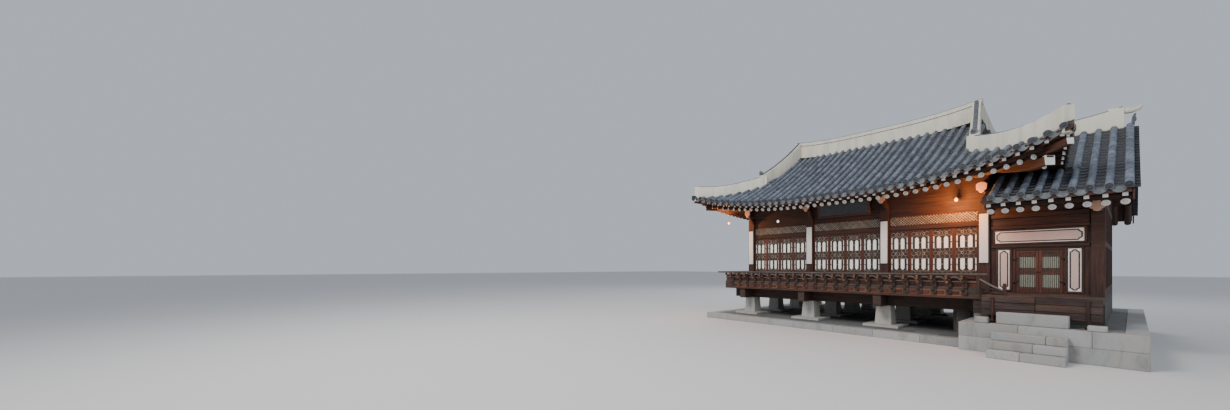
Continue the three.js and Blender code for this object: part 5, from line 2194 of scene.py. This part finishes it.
def door_leaf(side, x0, x1, axis, way):
    """A leaf between x0 and x1 that turns on an axis; way points from its hinges to its pull."""
    stock = Stock()
    for a, b in ((x0, x0 + LEAF_STILE), (x1 - LEAF_STILE, x1)):
        stock.block((a, LEAF_FRONT, LEAF_LOW), (b, LEAF_BACK, LEAF_HIGH), 2, 0.004, 0)
    left, right = x0 + LEAF_STILE, x1 - LEAF_STILE
    low, high = LEAF_LOW + 0.06, LEAF_HIGH - 0.055
    for a, b in ((LEAF_LOW, low), (high, LEAF_HIGH)):
        stock.block((left, LEAF_FRONT + 0.001, a), (right, LEAF_BACK - 0.001, b), 0, 0.004, 0)
    stock.block((left, PAPER_PLANE, low), (right, -0.0385, high), 0, 0.0005, 1)
    for i in range(SLATS):
        x = left + (right - left) * (i + 0.5) / SLATS
        stock.bar((x, PAPER_PLANE, low), (x, PAPER_PLANE, high), 0.012, 0.014, (0, -1, 0), 2)
    for middle, count in ((high - 0.066, 6), ((low + high) / 2 + 0.01, 9), (low + 0.052, 5)):
        for k in range(count):
            z = middle + (k - (count - 1) / 2) * SLAT_STEP
            stock.bar((left, PAPER_PLANE, z), (right, PAPER_PLANE, z), 0.016, 0.01, (0, -1, 0), 0)
    for z in HINGES:
        a, b = sorted((axis, axis + way * 0.055))
        stock.block((a, -0.07, z + 0.0553), (b, -0.0595, z + 0.0953), 0, 0.001, 3)
        knuckle = [(axis, HINGE_LINE, z + up) for up in (0.0506, 0.052, 0.099, 0.1003)]
        stock.tube(knuckle, [0.0082, 0.009, 0.009, 0.0082], 16, 3)
    pull = x1 - 0.026 if way > 0 else x0 + 0.026
    plate = [(pull, LEAF_FRONT - out, 2.215) for out in (0, 0.003, 0.005)]
    stock.tube(plate, [0.021, 0.021, 0.018], 8, 3)
    ring = []
    for k in range(21):
        turn = math.tau * k / 20
        x, z = pull + PULL_RADIUS * math.sin(turn), 2.196 + PULL_RADIUS * math.cos(turn)
        ring.append((x, LEAF_FRONT - 0.01, z))
    stock.tube(ring, [0.003] * 21, 6, 3)
    finishes = (leaf_timber, slat_paper, lattice_timber, old_iron)
    make(f"{side}_leaf_lattice", stock, finishes, f"{side}_leaf", [f"door_leaf_{side}"])


door_leaf("left", 8.805, 9.2725, 8.8025, 1)
door_leaf("right", 9.2775, 9.745, 9.7475, -1)

# %% [markdown]
# ## The wing's end wall
# The far end of the wing is boarded: upright planks between a sill, a middle rail and a plate, with thin
# battens over their joints. The frame gives the wall's place and thickness, so the boards are laid out from
# its box.

# %% End wall boards
PLANK = 0.3
low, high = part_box("wing_end_wall")
stock = Stock()
count = round((high[1] - low[1]) / PLANK)
step = (high[1] - low[1]) / count
for i in range(count):
    a, b = low[1] + i * step, low[1] + (i + 1) * step
    top = min(high[2], under_wing(high[0], (a + b) / 2) - 0.02)
    stock.block((low[0], a + 0.002, low[2]), (high[0] - 0.022, b - 0.002, top), 2, 0.004, 0)
    if i:
        stock.block((high[0] - 0.024, a - 0.025, low[2]), (high[0] - 0.008, a + 0.025, top), 2, 0.004, 1)
for z0, z1 in ((low[2], low[2] + 0.2), (2.9, 3.05), (4.0, 4.16)):
    stock.block((high[0] - 0.024, low[1], z0), (high[0], high[1], z1), 1, 0.006, 1)
make("wing_end_boards", stock, (red_timber, red_timber), instead_of=["wing_end_wall"])

# %% [markdown]
# ## Gable boards
# The gables over the end slopes are boarded upright, with battens over the joints and a tie beam low down.
# The frame's gables have the shape, so only battens and beam are laid over them.

# %% Gable boards
BATTEN_STEP = 0.24
for side, way in (("left", -1), ("right", 1)):
    low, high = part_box(f"gable_{side}")
    x = low[0] if way < 0 else high[0]
    stock = Stock()
    for i in range(-9, 10):
        y = RIDGE_LINE + i * BATTEN_STEP
        foot = slope_top(EAVE_OUT + abs(x if way < 0 else LENGTH - x), from_front(y), x) - 0.02
        top = slope_top(from_front(y), from_side(x), x) - 0.3
        if top - foot > 0.12:
            a, b = sorted((x - way * 0.004, x + way * 0.016))
            stock.block((a, y - 0.022, foot), (b, y + 0.022, top), 2, 0.004, 0)
    tie = slope_top(EAVE_OUT + GABLE_PLANE, RIDGE_LINE, x) + 0.22
    a, b = sorted((x - way * 0.004, x + way * 0.03))
    stock.block((a, RIDGE_LINE - 1.5, tie), (b, RIDGE_LINE + 1.5, tie + 0.14), 1, 0.006, 0)
    make(f"gable_boards_{side}", stock, (red_timber,))

# %% [markdown]
# ## The back of the wing
# The wing's back has plaster panels like those beside the doors, from the same helper, laid over the frame's
# wall.

# %% Back of the wing
low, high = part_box("wing_back_wall")
BACK_FACE = Face((LENGTH, high[1], 0), (-1, 0, 0), (0, 1, 0))
stock = Stock()
first, last = LENGTH - high[0] + 0.12, LENGTH - max(low[0], MEET) - 0.12
middle = (first + last) / 2
for a, b in ((first, middle - 0.1), (middle + 0.1, last)):
    plaster_panel(stock, BACK_FACE, a, b, 3.06, 3.42, 0.06)
    plaster_panel(stock, BACK_FACE, a, b, 1.78, 2.84, 0.07)
for z0, z1, proud in ((1.6, 1.7, 0.035), (2.92, 3.0, 0.04), (3.5, 3.6, 0.04), (3.8, 3.92, 0.045)):
    BACK_FACE.board(stock, first - 0.06, last + 0.06, z0, z1, -0.004, proud, 0.008, 2)
make("wing_back_panels", stock, PANEL_FINISHES)

# %% [markdown]
# ## Lamps
# Small bulbs hang on thin iron stems under the eaves. The glass glows, and beside each warm bulb a small lamp
# lights the timber around it, because glowing glass alone lights little.

# %% Lamps under the eaves
WARM = (1.0, 0.36, 0.09)
BULB = ((-0.062, 0.01), (-0.05, 0.034), (-0.02, 0.048), (0.012, 0.044), (0.04, 0.024), (0.052, 0.018))
SOCKET = ((0.05, 0.022), (0.056, 0.027), (0.085, 0.025), (0.092, 0.012))


def hung_bulb(name, place, finish, power):
    x, y, z = place
    stock = Stock()
    stock.tube([(x, y, z + h) for h, r in BULB], [r for h, r in BULB], 16, 0)
    stock.tube([(x, y, z + h) for h, r in SOCKET], [r for h, r in SOCKET], 12, 1)
    roof = under_main(x, y)
    stem = [(x, y, z + 0.09), (x + 0.003, y, (z + roof) / 2 + 0.05), (x, y, roof - 0.02)]
    stock.tube(stem, [0.004] * 3, 6, 1)
    make(name, stock, (finish, old_iron))
    if power:
        lamp = bpy.data.lights.new(name, "POINT")
        lamp.energy = power
        lamp.color = WARM
        lamp.shadow_soft_size = 0.06
        stand = bpy.data.objects.new(name + "_light", lamp)
        stand.location = (x, y - 0.2, z - 0.1)
        stand.visible_camera = False
        scene.collection.objects.link(stand)


hung_bulb("bulb_right", (7.51, -0.5, 4.46), warm_glass, 185)
hung_bulb("bulb_left", (-0.96, -0.5, 4.43), warm_glass, 170)
hung_bulb("bulb_white", (1.53, -0.5, 4.3), white_glass, 0)

# %% [markdown]
# ## Finishes for the solids that stay
# What is left of the frame has the right shape and only lacks a skin: columns, beams, floors, piers and
# walls. Each gets the timber finish whose grain runs its own way, or stone, or plaster.

# %% Skin of the frame
skins = {
    "floor_beams": under_timber, "pavilion_floor": floor_timber, "veranda_skirt": floor_timber,
    "wing_floor": floor_timber, "wing_foundation": footing_stone, "partition_wall": wall_plaster,
    "roof_frame": red_timber_x, "wing_wall_over_door": red_timber_x, "wing_back_wall": red_timber_x,
    "back_wall": red_timber_x, "gable_left": red_timber_y, "gable_right": red_timber_y,
    "left_wall": red_timber_y,
}
for i in (1, 2, 3):
    skins[f"door_set_{i}"] = leaf_timber_z
for name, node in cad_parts.items():
    skin = skins.get(name, pier_granite if name.startswith("pier_") else red_timber_z)
    node.data.materials.clear()
    node.data.materials.append(skin)
print("solids with a new skin:", len(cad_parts))

# %% [markdown]
# ## The floor
# A plain pale floor takes the shadows. It isn't part of the house, and it is wide enough for its far edge to
# lie at the horizon.

# %% Floor
REACH, SUNK = 150, -0.002
corners = [(-REACH, -REACH, SUNK), (REACH, -REACH, SUNK), (REACH, REACH, SUNK), (-REACH, REACH, SUNK)]
floor_mesh = bpy.data.meshes.new("floor")
floor_mesh.from_pydata(corners, [], [(0, 1, 2, 3)])
floor_plane = bpy.data.objects.new("floor", floor_mesh)
scene.collection.objects.link(floor_plane)
floor_coat = Coat("pale_floor")
floor_cloud = floor_coat.noise(floor_coat.place(), 0.4, 3)
floor_mesh.materials.append(floor_coat.set(Base_Color=(0.62, 0.61, 0.59), Roughness=0.8 + floor_cloud * 0.1))
print("floor:", 2 * REACH, "m wide")
